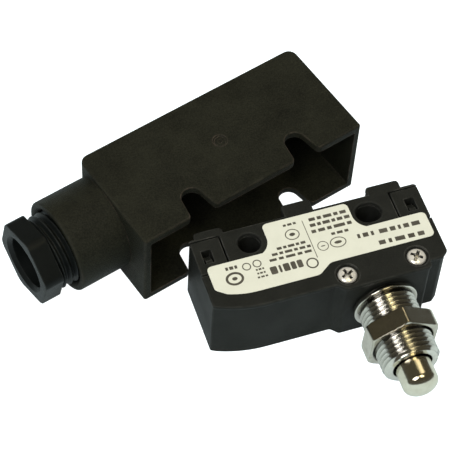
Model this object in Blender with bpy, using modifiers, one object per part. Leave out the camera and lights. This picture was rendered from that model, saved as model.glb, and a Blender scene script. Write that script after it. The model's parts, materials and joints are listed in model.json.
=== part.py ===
"""Plunger limit switch with a screw-terminal housing and a loose terminal hood.

Frame: metres, +Z up. The origin is on the resting face, midway between the two mounting holes. +X runs along
the switch towards the plunger's end, the plunger points along -Y, and the terminals face +Y. The hood lies
beside the switch on the same table, turned about +Z.
"""

import math

import bmesh
import bpy
from mathutils import Euler, Vector

MM = 0.001

# Switch housing
HOLE_SPACING = 25.4 * MM
HOLE_RADIUS = 2.3 * MM
HOLE_SLOT_REACH = 0.4 * MM
LEFT_END = -24.2 * MM
RIGHT_END = 24.4 * MM
BACK = 3.9 * MM
FRONT = -14.15 * MM
BOSS_FRONT = -15.6 * MM
BOSS_LEFT = 1.3 * MM
BOSS_RIGHT = 20.3 * MM
CROWN_START = -13.0 * MM
CROWN_RADIUS = 27.8 * MM
THICKNESS = 17.5 * MM
WALL = 1.8 * MM
PARTING_Z = 16.3 * MM
CAVITY_TOP = 14.6 * MM
SEAM = 0.3 * MM
MOUNT_BOSS_RADIUS = 3.8 * MM

# Housing cover
COVER_OVERHANG = 0.4 * MM
END_OVERHANG = 0.1 * MM
PLUG_DEPTH = 1.2 * MM
TONGUE_LEFT = -18.2 * MM
TONGUE_RIGHT = 18.4 * MM
TONGUE_FRONT = -4.6 * MM
TONGUE_BACK = 3.2 * MM
WINDOW_WIDTH = 2.0 * MM
WINDOW_LENGTH = 3.0 * MM
WINDOW_DEPTH = 2.2 * MM
BLOCK_BOTTOM = 12.6 * MM
SKIRT_STEP = 0.1 * MM

# Plunger head
HEAD_X = 10.9 * MM
HEAD_Z = 8.75 * MM
THREAD_RADIUS = 6.0 * MM
FLANGE_RADIUS = 6.7 * MM
FLANGE_FRONT = -17.0 * MM
SLEEVE_FRONT = -31.5 * MM
BARREL_RADIUS = 5.5 * MM
BARREL_BACK = -12.0 * MM
NUT_BACK = -22.4 * MM
NUT_THICKNESS = 4.0 * MM
NUT_ACROSS_FLATS = 14.0 * MM
NUT_TURN = math.radians(92)
PLUNGER_RADIUS = 3.7 * MM
PLUNGER_TIP = -36.9 * MM
SHOULDER_RADIUS = 4.6 * MM
SHOULDER_FRONT = -28.2 * MM
SHOULDER_BACK = -26.6 * MM
CUP_RADIUS = 2.8 * MM
CUP_BOTTOM = -34.2 * MM
RUNNING_GAP = 0.15 * MM

# Snap mechanism
BLADE_Y = -8.2 * MM
BLADE_LEFT = -15.9 * MM
BLADE_RIGHT = 17.2 * MM
BLADE_THICKNESS = 0.3 * MM
PIVOT_X = 17.4 * MM
STRIP_WIDTH = 6.0 * MM
STRIP_THICKNESS = 0.6 * MM
CONTACT_X = -14.0 * MM
CONTACT_RADIUS = 1.6 * MM
CONTACT_TRAVEL = 1.4 * MM
CONTACT_REACH = 0.95 * MM
CONTACT_GAP = 0.1 * MM
PIN_RADIUS = 1.0 * MM
PIN_HEAD_BACK = -14.1 * MM

# Terminals
TERMINAL_Z = 7.6 * MM
PLATE_FRONT = 4.3 * MM
PLATE_THICKNESS = 0.8 * MM
CLAMP_THICKNESS = 0.8 * MM
SCREW_RADIUS = 1.45 * MM
SCREW_HEAD_RADIUS = 2.6 * MM
SCREW_HEAD_HEIGHT = 1.3 * MM

# Terminal hood
HOOD_CORNER = Vector((17.8, 18.5, 0.0)) * MM
HOOD_TURN = math.radians(16.3)
HOOD_LENGTH = 53.2 * MM
HOOD_DEPTH = 24.6 * MM
HOOD_HEIGHT = 21.2 * MM
HOOD_WALL = 1.75 * MM
HOOD_END_WALL = 1.5 * MM
SLOT_CENTRES = (-39.2 * MM, -13.8 * MM)
SLOT_RADIUS = 2.25 * MM
SLOT_END = 6.3 * MM
SLOT_MOUTH = 3.4 * MM
SPIGOT_V = 15.0 * MM
SPIGOT_Z = 10.6 * MM
SPIGOT_RADIUS = 10.0 * MM
SPIGOT_LENGTH = 11.5 * MM
GLAND_THREAD_RADIUS = 7.9 * MM
GLAND_HOLE_RADIUS = 5.6 * MM
GLAND_ACROSS_FLATS = 16.0 * MM
GLAND_HEX_BACK = -68.2 * MM
GLAND_HEX_FRONT = -72.4 * MM
GLAND_THREAD_END = -62.0 * MM
GLAND_TURN = math.radians(44)

PART = bpy.data.collections.new("limit_switch")
CUTTERS = bpy.data.collections.new("limit_switch_cutters")


# ---------------------------------------------------------------- helpers


def clear_scene():
    for obj in list(bpy.data.objects):
        bpy.data.objects.remove(obj, do_unlink=True)
    for collection in (PART, CUTTERS):
        bpy.context.scene.collection.children.link(collection)
    CUTTERS.hide_render = True


def material(name, colour, roughness, metallic=0.0):
    made = bpy.data.materials.get(name) or bpy.data.materials.new(name)
    made.use_nodes = True
    shader = made.node_tree.nodes["Principled BSDF"]
    shader.inputs["Base Color"].default_value = (*colour, 1.0)
    shader.inputs["Roughness"].default_value = roughness
    shader.inputs["Metallic"].default_value = metallic
    return made


def housing_plastic():
    return material("housing_plastic", (0.045, 0.045, 0.042), 0.5)


def hood_plastic():
    return material("hood_plastic", (0.04, 0.04, 0.037), 0.55)


def inner_plastic():
    return material("inner_plastic", (0.30, 0.28, 0.24), 0.5)


def nickel():
    return material("nickel", (0.66, 0.63, 0.57), 0.2, 1.0)


def steel():
    return material("steel", (0.55, 0.55, 0.56), 0.3, 1.0)


def brass():
    return material("brass", (0.70, 0.52, 0.24), 0.3, 1.0)


def silver():
    return material("silver", (0.85, 0.84, 0.80), 0.25, 1.0)


def rubber():
    return material("rubber", (0.03, 0.03, 0.03), 0.8)


def label_film():
    return material("label_film", (0.86, 0.84, 0.74), 0.45)


def link(obj, shown=True, finish=None):
    (PART if shown else CUTTERS).objects.link(obj)
    if finish:
        obj.data.materials.clear()
        obj.data.materials.append(finish)
    if not shown:
        obj.hide_render = True
        obj.display_type = "WIRE"
    return obj


def box(name, low, high, finish=None, shown=True, origin=(0, 0, 0)):
    """A box between two corners, with the object's origin at a chosen point."""
    low, high, origin = Vector(low), Vector(high), Vector(origin)
    mesh = bpy.data.meshes.new(name)
    cube = bmesh.new()
    bmesh.ops.create_cube(cube, size=1.0)
    bmesh.ops.scale(cube, vec=high - low, verts=cube.verts)
    bmesh.ops.translate(cube, vec=(high + low) / 2 - origin, verts=cube.verts)
    cube.to_mesh(mesh)
    cube.free()
    obj = bpy.data.objects.new(name, mesh)
    obj.location = origin
    return link(obj, shown, finish)


def rod(name, start, end, radius, finish=None, shown=True, sides=32, turn=0.0, end_radius=None):
    """A cylinder or cone between two points. Its origin is its middle."""
    start, end = Vector(start), Vector(end)
    mesh = bpy.data.meshes.new(name)
    cone = bmesh.new()
    bmesh.ops.create_cone(
        cone,
        cap_ends=True,
        segments=sides,
        radius1=radius,
        radius2=radius if end_radius is None else end_radius,
        depth=(end - start).length,
    )
    bmesh.ops.rotate(cone, matrix=Euler((0, 0, turn)).to_matrix(), verts=cone.verts)
    cone.to_mesh(mesh)
    cone.free()
    obj = bpy.data.objects.new(name, mesh)
    obj.rotation_mode = "QUATERNION"
    obj.rotation_quaternion = (end - start).to_track_quat("Z", "Y")
    obj.location = (start + end) / 2
    return link(obj, shown, finish)


def outline(name, points, bottom, top, finish=None, shown=True):
    """A flat outline in plan, drawn as a filled curve and made a solid from bottom to top."""
    curve = bpy.data.curves.new(name, "CURVE")
    curve.dimensions = "2D"
    curve.fill_mode = "BOTH"
    curve.extrude = (top - bottom) / 2
    line = curve.splines.new("POLY")
    line.points.add(len(points) - 1)
    for point, (x, y) in zip(line.points, points):
        point.co = (x, y, 0, 1)
    line.use_cyclic_u = True
    drawn = bpy.data.objects.new(name + "_outline", curve)
    PART.objects.link(drawn)
    drawn.location.z = (top + bottom) / 2
    bpy.context.view_layer.update()
    mesh = bpy.data.meshes.new_from_object(drawn.evaluated_get(bpy.context.evaluated_depsgraph_get()))
    mesh.name = name
    welded = bmesh.new()
    welded.from_mesh(mesh)
    bmesh.ops.remove_doubles(welded, verts=welded.verts, dist=1e-7)
    bmesh.ops.dissolve_limit(welded, angle_limit=0.01, verts=welded.verts, edges=welded.edges)
    bmesh.ops.recalc_face_normals(welded, faces=welded.faces)
    welded.to_mesh(mesh)
    welded.free()
    obj = bpy.data.objects.new(name, mesh)
    obj.matrix_world = drawn.matrix_world.copy()
    bpy.data.objects.remove(drawn, do_unlink=True)
    return link(obj, shown, finish)


def turned(name, profile, finish=None, shown=True, steps=40, place=(0, 0, 0), towards=(0, -1, 0)):
    """A turned piece. The profile is (radius, height) pairs, top to bottom on the outer side; height runs
    along the direction given by towards."""
    mesh = bpy.data.meshes.new(name)
    count = len(profile)
    ring = [(i, (i + 1) % count) for i in range(count)]
    if profile[0][0] < 1e-9 and profile[-1][0] < 1e-9:
        ring.pop()
    mesh.from_pydata([(radius, 0, height) for radius, height in profile], ring, [])
    obj = bpy.data.objects.new(name, mesh)
    screw = obj.modifiers.new("turn", "SCREW")
    screw.steps = steps
    screw.render_steps = steps
    screw.use_merge_vertices = True
    screw.merge_threshold = 1e-6
    obj.rotation_mode = "QUATERNION"
    obj.rotation_quaternion = Vector(towards).to_track_quat("Z", "Y")
    obj.location = place
    return link(obj, shown, finish)


def combine(obj, other, operation):
    modifier = obj.modifiers.new(other.name, "BOOLEAN")
    modifier.operation = operation
    modifier.object = other
    modifier.solver = "EXACT"


def cut(obj, *cutters):
    for cutter in cutters:
        combine(obj, cutter, "DIFFERENCE")


def add(obj, *others):
    for other in others:
        combine(obj, other, "UNION")


def keep(obj, *others):
    for other in others:
        combine(obj, other, "INTERSECT")


def bevel(obj, width, segments=2, angle=40):
    modifier = obj.modifiers.new("edges", "BEVEL")
    modifier.width = width
    modifier.segments = segments
    modifier.limit_method = "ANGLE"
    modifier.angle_limit = math.radians(angle)
    weld = obj.modifiers.new("weld", "WELD")
    weld.merge_threshold = 2e-6
    obj.modifiers.new("facets", "TRIANGULATE")


def smooth(*objects, angle=35):
    for obj in objects:
        obj.data.shade_smooth()
        obj.data.set_sharp_from_angle(angle=math.radians(angle))


def arc(centre, radius, start, end, count):
    """Points along an arc in plan, angles in degrees."""
    steps = [math.radians(start + (end - start) * i / count) for i in range(count + 1)]
    return [(centre[0] + radius * math.cos(a), centre[1] + radius * math.sin(a)) for a in steps]


def ride(obj, parent):
    """Puts an object made in the parent's own frame under it."""
    obj.parent = parent
    return obj


# ---------------------------------------------------------------- switch housing


def housing_outline(grow, grow_ends):
    """The housing in plan. The front is crowned on the left, with a raised boss round the plunger head."""
    front, boss = FRONT - grow, BOSS_FRONT - grow
    reach = CROWN_START - LEFT_END + grow_ends - 0.4 * MM
    sweep = math.degrees(math.asin(reach / CROWN_RADIUS))
    crown = arc((CROWN_START, front + CROWN_RADIUS), CROWN_RADIUS, 270 - sweep, 270, 8)
    step_run = 0.7 * MM
    corner = 0.8 * MM
    left, right, back = LEFT_END - grow_ends, RIGHT_END + grow_ends, BACK + grow_ends
    return [
        *arc((left + corner, back - corner), corner, 90, 180, 3),
        (left, crown[0][1] + 0.5 * MM),
        *crown,
        (BOSS_LEFT - step_run, front),
        (BOSS_LEFT + step_run, boss),
        *arc((BOSS_RIGHT - corner, boss + corner), corner, 270, 360, 3),
        (BOSS_RIGHT, front + 0.1 * MM),
        (right - 1.8 * MM, front + 0.1 * MM),
        (right - 0.5 * MM, front + 0.6 * MM),
        (right, front + 1.4 * MM),
        *arc((right - corner, back - corner), corner, 0, 90, 3),
    ]


CASING_SCREWS = {"casing_screw_left": 3.4 * MM, "casing_screw_right": 18.1 * MM}
CASING_SCREW_Y = -12.75 * MM
HOLES = {"left": -HOLE_SPACING / 2, "right": HOLE_SPACING / 2}
TONGUES = {"left": (LEFT_END - 1 * MM, TONGUE_LEFT), "right": (TONGUE_RIGHT, RIGHT_END + 1 * MM)}
WINDOWS = {"left": -21.65 * MM, "right": 21.6 * MM}
TERMINALS = {"nc": -19.9 * MM, "no": -0.8 * MM, "com": 17.6 * MM}
BLOCKS = {"left": (-22.9, -16.9, 5.4), "middle": (-3.9, 2.3, 6.7), "right": (14.0, 21.2, 5.9)}


def hole_cutter(name, x, radius, reach, bottom, top):
    """A round hole, lengthened along X where reach isn't zero."""
    hole = rod(name, (x, 0, bottom), (x, 0, top), radius, shown=False)
    hole.scale = (1 + reach / radius, 1, 1)
    return hole


def housing_base():
    base = outline("housing_base", housing_outline(0, 0), 0, THICKNESS, housing_plastic())
    inner_front = FRONT + WALL
    inner_back = BACK - WALL
    inner_left = LEFT_END + WALL
    inner_right = RIGHT_END - WALL
    far = 30 * MM
    seat_top = THICKNESS + 1 * MM
    middle = box(
        "cut_cover_middle", (TONGUE_LEFT, -far, PARTING_Z), (TONGUE_RIGHT, far, seat_top), shown=False
    )
    front = box("cut_cover_front", (-far, -far, PARTING_Z), (far, TONGUE_FRONT, seat_top), shown=False)
    rear = box("cut_cover_rear", (-far, TONGUE_BACK, PARTING_Z), (far, far, seat_top), shown=False)
    room = box("cut_cavity", (inner_left, inner_front, WALL), (inner_right, inner_back, CAVITY_TOP), shown=False)
    mouth = box(
        "cut_mouth",
        (TONGUE_LEFT + 2 * SEAM, inner_front, CAVITY_TOP - 1 * MM),
        (TONGUE_RIGHT - 2 * SEAM, inner_back, PARTING_Z + 1 * MM),
        shown=False,
    )
    cut(base, middle, front, rear, room, mouth)
    for side, x in HOLES.items():
        post = rod(
            "add_post_" + side, (x, 0, WALL / 2), (x, 0, PARTING_Z - 0.01 * MM), MOUNT_BOSS_RADIUS, shown=False
        )
        add(base, post)
    for name, x in CASING_SCREWS.items():
        post = rod(
            "add_" + name + "_post",
            (x, CASING_SCREW_Y, WALL / 2),
            (x, CASING_SCREW_Y, PARTING_Z - 0.02 * MM),
            1.9 * MM,
            shown=False,
            sides=20,
        )
        add(base, post)
    for side, x in HOLES.items():
        reach = HOLE_SLOT_REACH if side == "right" else 0
        cut(base, hole_cutter("cut_hole_" + side, x, HOLE_RADIUS, reach, -1 * MM, THICKNESS + 1 * MM))
    for name, x in CASING_SCREWS.items():
        thread = rod(
            "cut_" + name + "_thread",
            (x, CASING_SCREW_Y, 8.5 * MM),
            (x, CASING_SCREW_Y, THICKNESS + 1 * MM),
            1.25 * MM,
            shown=False,
            sides=16,
        )
        cut(base, thread)
    bore = rod(
        "cut_head_bore",
        (HEAD_X, BOSS_FRONT - 1 * MM, HEAD_Z),
        (HEAD_X, inner_front + 0.8 * MM, HEAD_Z),
        BARREL_RADIUS + RUNNING_GAP,
        shown=False,
    )
    cut(base, bore)
    for side, x in WINDOWS.items():
        window = box(
            "cut_window_" + side,
            (x - WINDOW_WIDTH / 2, -2.2 * MM, THICKNESS - WINDOW_DEPTH),
            (x + WINDOW_WIDTH / 2, -2.2 * MM + WINDOW_LENGTH, THICKNESS + 1 * MM),
            shown=False,
        )
        cut(base, window)
    for name, x in TERMINALS.items():
        offset = strip_side(name)
        slot = box(
            "cut_strip_" + name,
            (x + offset - 0.6 * MM, inner_back - 1 * MM, HEAD_Z - STRIP_WIDTH / 2 - 0.3 * MM),
            (x + offset + 0.6 * MM, BACK + 1 * MM, HEAD_Z + STRIP_WIDTH / 2 + 0.3 * MM),
            shown=False,
        )
        well = rod(
            "cut_screw_well_" + name,
            (x, inner_back - 0.5 * MM, TERMINAL_Z),
            (x, BACK + 1 * MM, TERMINAL_Z),
            SCREW_RADIUS + 0.6 * MM,
            shown=False,
            sides=20,
        )
        cut(base, slot, well)
    smooth(base)
    return base


def block_outline(left, right, front, back):
    corner = 0.7 * MM
    return [
        (left, front),
        (right, front),
        *arc((right - corner, back - corner), corner, 0, 90, 4),
        *arc((left + corner, back - corner), corner, 90, 180, 4),
    ]


def housing_cover():
    bottom = PARTING_Z + SEAM
    plan = housing_outline(COVER_OVERHANG, END_OVERHANG)
    cover = outline("housing_cover", plan, bottom, THICKNESS, housing_plastic())
    overlap = 0.4 * MM
    plug = box(
        "add_plug", (-17.2 * MM, -10.1 * MM, bottom - PLUG_DEPTH), (17.2 * MM, -4.4 * MM, bottom + overlap), shown=False
    )
    add(cover, plug)
    for side, (left, right, back) in BLOCKS.items():
        roof = outline(
            "add_block_" + side,
            block_outline(left * MM, right * MM, BACK - 0.5 * MM, back * MM),
            bottom + 0.02 * MM,
            THICKNESS - 0.02 * MM,
            shown=False,
        )
        skirt = outline(
            "add_skirt_" + side,
            block_outline(left * MM + SKIRT_STEP, right * MM - SKIRT_STEP, BACK + SEAM, back * MM - SKIRT_STEP),
            BLOCK_BOTTOM,
            bottom + overlap,
            shown=False,
        )
        add(cover, roof, skirt)
    for side, (left, right) in TONGUES.items():
        notch = box(
            "cut_notch_" + side,
            (left - SEAM * (side == "right"), TONGUE_FRONT - SEAM, bottom - 0.05 * MM),
            (right + SEAM * (side == "left"), TONGUE_BACK + SEAM * 0.7, THICKNESS + 1 * MM),
            shown=False,
        )
        cut(cover, notch)
    for side, x in HOLES.items():
        reach = HOLE_SLOT_REACH if side == "right" else 0
        cut(cover, hole_cutter("cut_cover_hole_" + side, x, HOLE_RADIUS, reach, 0, THICKNESS + 1 * MM))
    for name, x in CASING_SCREWS.items():
        seat = turned(
            "cut_" + name + "_seat",
            [
                (0, THICKNESS + 1 * MM),
                (2.3 * MM, THICKNESS + 1 * MM),
                (2.3 * MM, bottom + 0.3 * MM),
                (1.35 * MM, bottom + 0.3 * MM),
                (1.35 * MM, bottom - 1 * MM),
                (0, bottom - 1 * MM),
            ],
            shown=False,
            steps=28,
            place=(x, CASING_SCREW_Y, 0),
            towards=(0, 0, 1),
        )
        cut(cover, seat)
    smooth(cover)
    return cover


def label_outline():
    """The label runs between the mounting holes, curves round them, and steps back to clear the screws."""
    left, right, front = -22.8 * MM, 23.5 * MM, -11.3 * MM
    shoulder, step, back = -3.2 * MM, -9.2 * MM, 3.3 * MM
    hole_gap = 3.6 * MM
    hole_left, hole_right = HOLES["left"], HOLES["right"]
    corner = 1.0 * MM
    dip = math.degrees(math.acos(-shoulder / hole_gap))
    return [
        *arc((left + corner, shoulder - corner), corner, 180, 90, 4),
        *arc((hole_left, 0), hole_gap, -90 + dip, 0, 6),
        *arc((hole_left + hole_gap + corner, back - corner), corner, 180, 90, 4),
        *arc((hole_right - hole_gap - corner, back - corner), corner, 90, 0, 4),
        *arc((hole_right, 0), hole_gap, 180, 270 - dip, 6),
        *arc((right - corner, shoulder - corner), corner, 90, 0, 4),
        *arc((right - corner, step + corner), corner, 0, -90, 4),
        *arc((1.8 * MM, step - 2 * MM), 2 * MM, 90, 130, 3),
        *arc((-2.4 * MM, front + 2 * MM), 2 * MM, -50, -90, 3),
        *arc((-14.6 * MM, front + 18 * MM), 18 * MM, -90, -110, 4),
        *arc((left + corner, front + 2.1 * MM + corner), corner, 230, 180, 3),
    ]


def label():
    return outline("rating_label", label_outline(), THICKNESS + 0.03 * MM, THICKNESS + 0.12 * MM, label_film())


def cross_recess(name, place, towards, reach, width, depth):
    """A cross-shaped cutter that enters the head from its top."""
    place, towards = Vector(place), Vector(towards)
    turn = towards.to_track_quat("Z", "Y")
    arms = []
    for number, size in enumerate(((reach, width), (width, reach))):
        half = Vector((size[0], size[1], depth))
        arm = box(f"{name}_{number}", -half, half, shown=False)
        arm.rotation_mode = "QUATERNION"
        arm.rotation_quaternion = turn
        arm.location = place
        arms.append(arm)
    return arms


def casing_screw(name, x):
    head = 2.0 * MM
    under = PARTING_Z + SEAM + 0.35 * MM
    top = THICKNESS + 0.3 * MM
    screw = turned(
        name,
        [
            (0, top),
            (1.2 * MM, top - 0.05 * MM),
            (1.75 * MM, top - 0.25 * MM),
            (head, top - 0.6 * MM),
            (head, under),
            (1.1 * MM, under),
            (1.1 * MM, 9.8 * MM),
            (0.5 * MM, 9.1 * MM),
            (0, 9.1 * MM),
        ],
        nickel(),
        steps=28,
        place=(x, CASING_SCREW_Y, 0),
        towards=(0, 0, 1),
    )
    cut(screw, *cross_recess("cut_" + name, (x, CASING_SCREW_Y, top), (0, 0, 1), 1.25 * MM, 0.3 * MM, 0.5 * MM))
    smooth(screw)
    return screw


# ---------------------------------------------------------------- plunger head


def head_piece(name, profile, finish, steps=40):
    """A turned piece on the head's axis. Heights in the profile are distances forward of the origin."""
    piece = turned(name, profile, finish, steps=steps, place=(HEAD_X, 0, HEAD_Z))
    smooth(piece)
    return piece


def threaded_sleeve():
    chamfer = 0.6 * MM
    groove = 5.0 * MM
    lip = 4.15 * MM
    collar = PLUNGER_RADIUS + 0.25 * MM
    guide = SHOULDER_RADIUS + RUNNING_GAP
    front = -SLEEVE_FRONT
    return head_piece(
        "threaded_sleeve",
        [
            (lip, front),
            (THREAD_RADIUS - chamfer, front),
            (THREAD_RADIUS, front - chamfer),
            (THREAD_RADIUS, -FLANGE_FRONT),
            (FLANGE_RADIUS - 0.2 * MM, -FLANGE_FRONT),
            (FLANGE_RADIUS, -FLANGE_FRONT - 0.2 * MM),
            (FLANGE_RADIUS, -BOSS_FRONT + SEAM),
            (BARREL_RADIUS, -BOSS_FRONT + SEAM),
            (BARREL_RADIUS, -BARREL_BACK),
            (guide, -BARREL_BACK),
            (guide, -SHOULDER_FRONT + 0.2 * MM),
            (collar, -SHOULDER_FRONT + 0.2 * MM),
            (collar, 29.3 * MM),
            (groove, 29.3 * MM),
            (groove, 30.8 * MM),
            (lip, 30.8 * MM),
        ],
        nickel(),
        steps=36,
    )


def plunger():
    return head_piece(
        "plunger",
        [
            (0, -PLUNGER_TIP),
            (1.3 * MM, -PLUNGER_TIP - 0.12 * MM),
            (2.4 * MM, -PLUNGER_TIP - 0.42 * MM),
            (3.2 * MM, -PLUNGER_TIP - 1.05 * MM),
            (PLUNGER_RADIUS, -PLUNGER_TIP - 2.1 * MM),
            (PLUNGER_RADIUS, -SHOULDER_FRONT),
            (SHOULDER_RADIUS, -SHOULDER_FRONT),
            (SHOULDER_RADIUS, -SHOULDER_BACK),
            (CUP_RADIUS, -SHOULDER_BACK),
            (CUP_RADIUS, -CUP_BOTTOM),
            (0, -CUP_BOTTOM),
        ],
        nickel(),
        steps=36,
    )


def ring(name, outer, inner, front, back, finish, steps=32):
    """A plain turned ring on the head's axis, from its front face to its back one."""
    return head_piece(name, [(outer, -front), (outer, -back), (inner, -back), (inner, -front)], finish, steps)


def hex_solid(name, across_flats, start, end, bore, chamfer, turn, finish):
    """A hexagon nut between two points, bored through, its corners turned off at both faces."""
    start, end = Vector(start), Vector(end)
    corner = across_flats / math.sqrt(3)
    nut = rod(name, start, end, corner, finish, sides=6, turn=turn)
    length = (end - start).length
    run = (corner - across_flats / 2) * 1.0
    slope = run * math.tan(math.radians(30))
    blank = turned(
        "keep_" + name,
        [
            (across_flats / 2 - 0.2 * MM, length / 2 + 0.001 * MM),
            (across_flats / 2 + run + 0.2 * MM, length / 2 - slope - 0.15 * MM),
            (across_flats / 2 + run + 0.2 * MM, -length / 2 + chamfer * (slope + 0.15 * MM)),
            (across_flats / 2 - 0.2 * MM, -length / 2 - 0.001 * MM),
            (bore, -length / 2 - 0.001 * MM),
            (bore, length / 2 + 0.001 * MM),
        ],
        shown=False,
        steps=48,
        place=(start + end) / 2,
        towards=end - start,
    )
    keep(nut, blank)
    smooth(nut, angle=20)
    return nut


def coil_spring():
    """The overtravel spring: a round wire wound between the plunger's cup and the pin's head."""
    wire = 0.3 * MM
    radius = 2.2 * MM
    turns, per_turn = 9, 10
    front, back = CUP_BOTTOM + wire + 0.2 * MM, PIN_HEAD_BACK - 1.0 * MM - wire - 0.2 * MM
    curve = bpy.data.curves.new("overtravel_spring", "CURVE")
    curve.dimensions = "3D"
    curve.bevel_depth = wire
    curve.bevel_resolution = 2
    curve.use_fill_caps = True
    line = curve.splines.new("POLY")
    count = turns * per_turn + 1
    line.points.add(count - 1)
    for i, point in enumerate(line.points):
        angle = 2 * math.pi * i / per_turn
        y = front + (back - front) * i / (count - 1)
        point.co = (radius * math.cos(angle), y, radius * math.sin(angle), 1)
    spring = bpy.data.objects.new("overtravel_spring", curve)
    spring.location = (HEAD_X, 0, HEAD_Z)
    return link(spring, finish=steel())


def push_pin():
    tip = BLADE_Y - BLADE_THICKNESS / 2 - CONTACT_GAP
    return head_piece(
        "push_pin",
        [
            (0, -PIN_HEAD_BACK + 1.0 * MM),
            (2.6 * MM, -PIN_HEAD_BACK + 1.0 * MM),
            (2.6 * MM, -PIN_HEAD_BACK),
            (PIN_RADIUS, -PIN_HEAD_BACK),
            (PIN_RADIUS, -tip + 0.4 * MM),
            (PIN_RADIUS * 0.6, -tip),
            (0, -tip),
        ],
        inner_plastic(),
        steps=20,
    )


# ---------------------------------------------------------------- snap mechanism and terminals


def strip_side(name):
    """How far each terminal's strip is from its screw, so that the two don't meet."""
    return {"nc": 1.9 * MM, "no": -2.4 * MM, "com": 1.9 * MM}[name]


def snap_blade():
    half = STRIP_WIDTH / 2
    blade = box(
        "snap_blade",
        (BLADE_LEFT, BLADE_Y - BLADE_THICKNESS / 2, HEAD_Z - half),
        (BLADE_RIGHT, BLADE_Y + BLADE_THICKNESS / 2, HEAD_Z + half),
        steel(),
        origin=(PIVOT_X, BLADE_Y, HEAD_Z),
    )
    opening = box(
        "cut_blade_opening",
        (-9.0 * MM, BLADE_Y - 1 * MM, HEAD_Z - 1.3 * MM),
        (6.0 * MM, BLADE_Y + 1 * MM, HEAD_Z + 1.3 * MM),
        shown=False,
    )
    rivet = rod(
        "cut_blade_rivet",
        (CONTACT_X, BLADE_Y - 1 * MM, HEAD_Z),
        (CONTACT_X, BLADE_Y + 1 * MM, HEAD_Z),
        0.9 * MM,
        shown=False,
        sides=16,
    )
    cut(blade, opening, rivet)
    return blade


def moving_contact():
    """A double-sided contact, a button on each side of the blade joined by its rivet."""
    reach, flat = CONTACT_REACH, BLADE_THICKNESS / 2 + 0.05 * MM
    contact = turned(
        "moving_contact",
        [
            (0, reach),
            (1.2 * MM, reach - 0.1 * MM),
            (CONTACT_RADIUS, reach - 0.35 * MM),
            (CONTACT_RADIUS, flat),
            (0.8 * MM, flat),
            (0.8 * MM, -flat),
            (CONTACT_RADIUS, -flat),
            (CONTACT_RADIUS, -reach + 0.35 * MM),
            (1.2 * MM, -reach + 0.1 * MM),
            (0, -reach),
        ],
        silver(),
        steps=20,
        place=(CONTACT_X, BLADE_Y, HEAD_Z),
    )
    smooth(contact)
    return contact


def snap_spring():
    """The bowed tongue that throws the blade over, in the blade's opening."""
    bow = 1.2 * MM
    left, right = -8.4 * MM, 5.4 * MM
    thickness = 0.12 * MM
    count = 12
    upper = []
    lower = []
    for i in range(count + 1):
        share = i / count
        x = left + (right - left) * share
        y = BLADE_Y + bow * math.sin(math.pi * share)
        upper.append((x, y + thickness))
        lower.append((x, y - thickness))
    half = 1.0 * MM
    return outline("snap_spring", upper + lower[::-1], HEAD_Z - half, HEAD_Z + half, steel())


def fixed_contact(name, face, back):
    contact = turned(
        name,
        [
            (0, 0),
            (1.2 * MM, -0.08 * MM),
            (CONTACT_RADIUS, -0.3 * MM),
            (CONTACT_RADIUS, -abs(face - back)),
            (0, -abs(face - back)),
        ],
        silver(),
        steps=20,
        place=(CONTACT_X, face, HEAD_Z),
        towards=(0, math.copysign(1, face - back), 0),
    )
    smooth(contact)
    return contact


def strip_plan(x, offset, far_x, lead_y):
    """A terminal's strip in plan: the run inside along Y, then the arm along X to far_x."""
    t = STRIP_THICKNESS
    inner = x + offset - t / 2
    outer = x + offset + t / 2
    if far_x < inner:
        return [
            (outer, PLATE_FRONT + 0.2 * MM),
            (inner, PLATE_FRONT + 0.2 * MM),
            (inner, lead_y + t),
            (far_x, lead_y + t),
            (far_x, lead_y),
            (outer, lead_y),
        ]
    return [
        (inner, PLATE_FRONT + 0.2 * MM),
        (inner, lead_y),
        (far_x, lead_y),
        (far_x, lead_y + t),
        (outer, lead_y + t),
        (outer, PLATE_FRONT + 0.2 * MM),
    ]


def terminal(name, x, far_x, lead_y):
    offset = strip_side(name)
    strip = outline(
        "terminal_" + name,
        strip_plan(x, offset, far_x, lead_y),
        HEAD_Z - STRIP_WIDTH / 2,
        HEAD_Z + STRIP_WIDTH / 2,
        brass(),
    )
    plate = box(
        "add_plate_" + name,
        (x - 3.2 * MM, PLATE_FRONT, TERMINAL_Z - 3.8 * MM),
        (x + 3.2 * MM, PLATE_FRONT + PLATE_THICKNESS, TERMINAL_Z + 3.8 * MM),
        shown=False,
    )
    hole = rod(
        "cut_plate_" + name,
        (x, PLATE_FRONT - 1 * MM, TERMINAL_Z),
        (x, PLATE_FRONT + 2 * MM, TERMINAL_Z),
        SCREW_RADIUS + RUNNING_GAP,
        shown=False,
        sides=20,
    )
    add(strip, plate)
    cut(strip, hole)
    return strip


def clamp_plate(name, x):
    front = PLATE_FRONT + PLATE_THICKNESS + 0.3 * MM
    plate = box(
        "clamp_plate_" + name,
        (x - 3.0 * MM, front, TERMINAL_Z - 3.0 * MM),
        (x + 3.0 * MM, front + CLAMP_THICKNESS, TERMINAL_Z + 3.0 * MM),
        steel(),
        origin=(x, front, TERMINAL_Z),
    )
    bevel(plate, 0.25 * MM, 1)
    hole = rod(
        "cut_clamp_" + name,
        (x, front - 1 * MM, TERMINAL_Z),
        (x, front + 2 * MM, TERMINAL_Z),
        SCREW_RADIUS + 0.25 * MM,
        shown=False,
        sides=20,
    )
    cut(plate, hole)
    return plate


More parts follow.
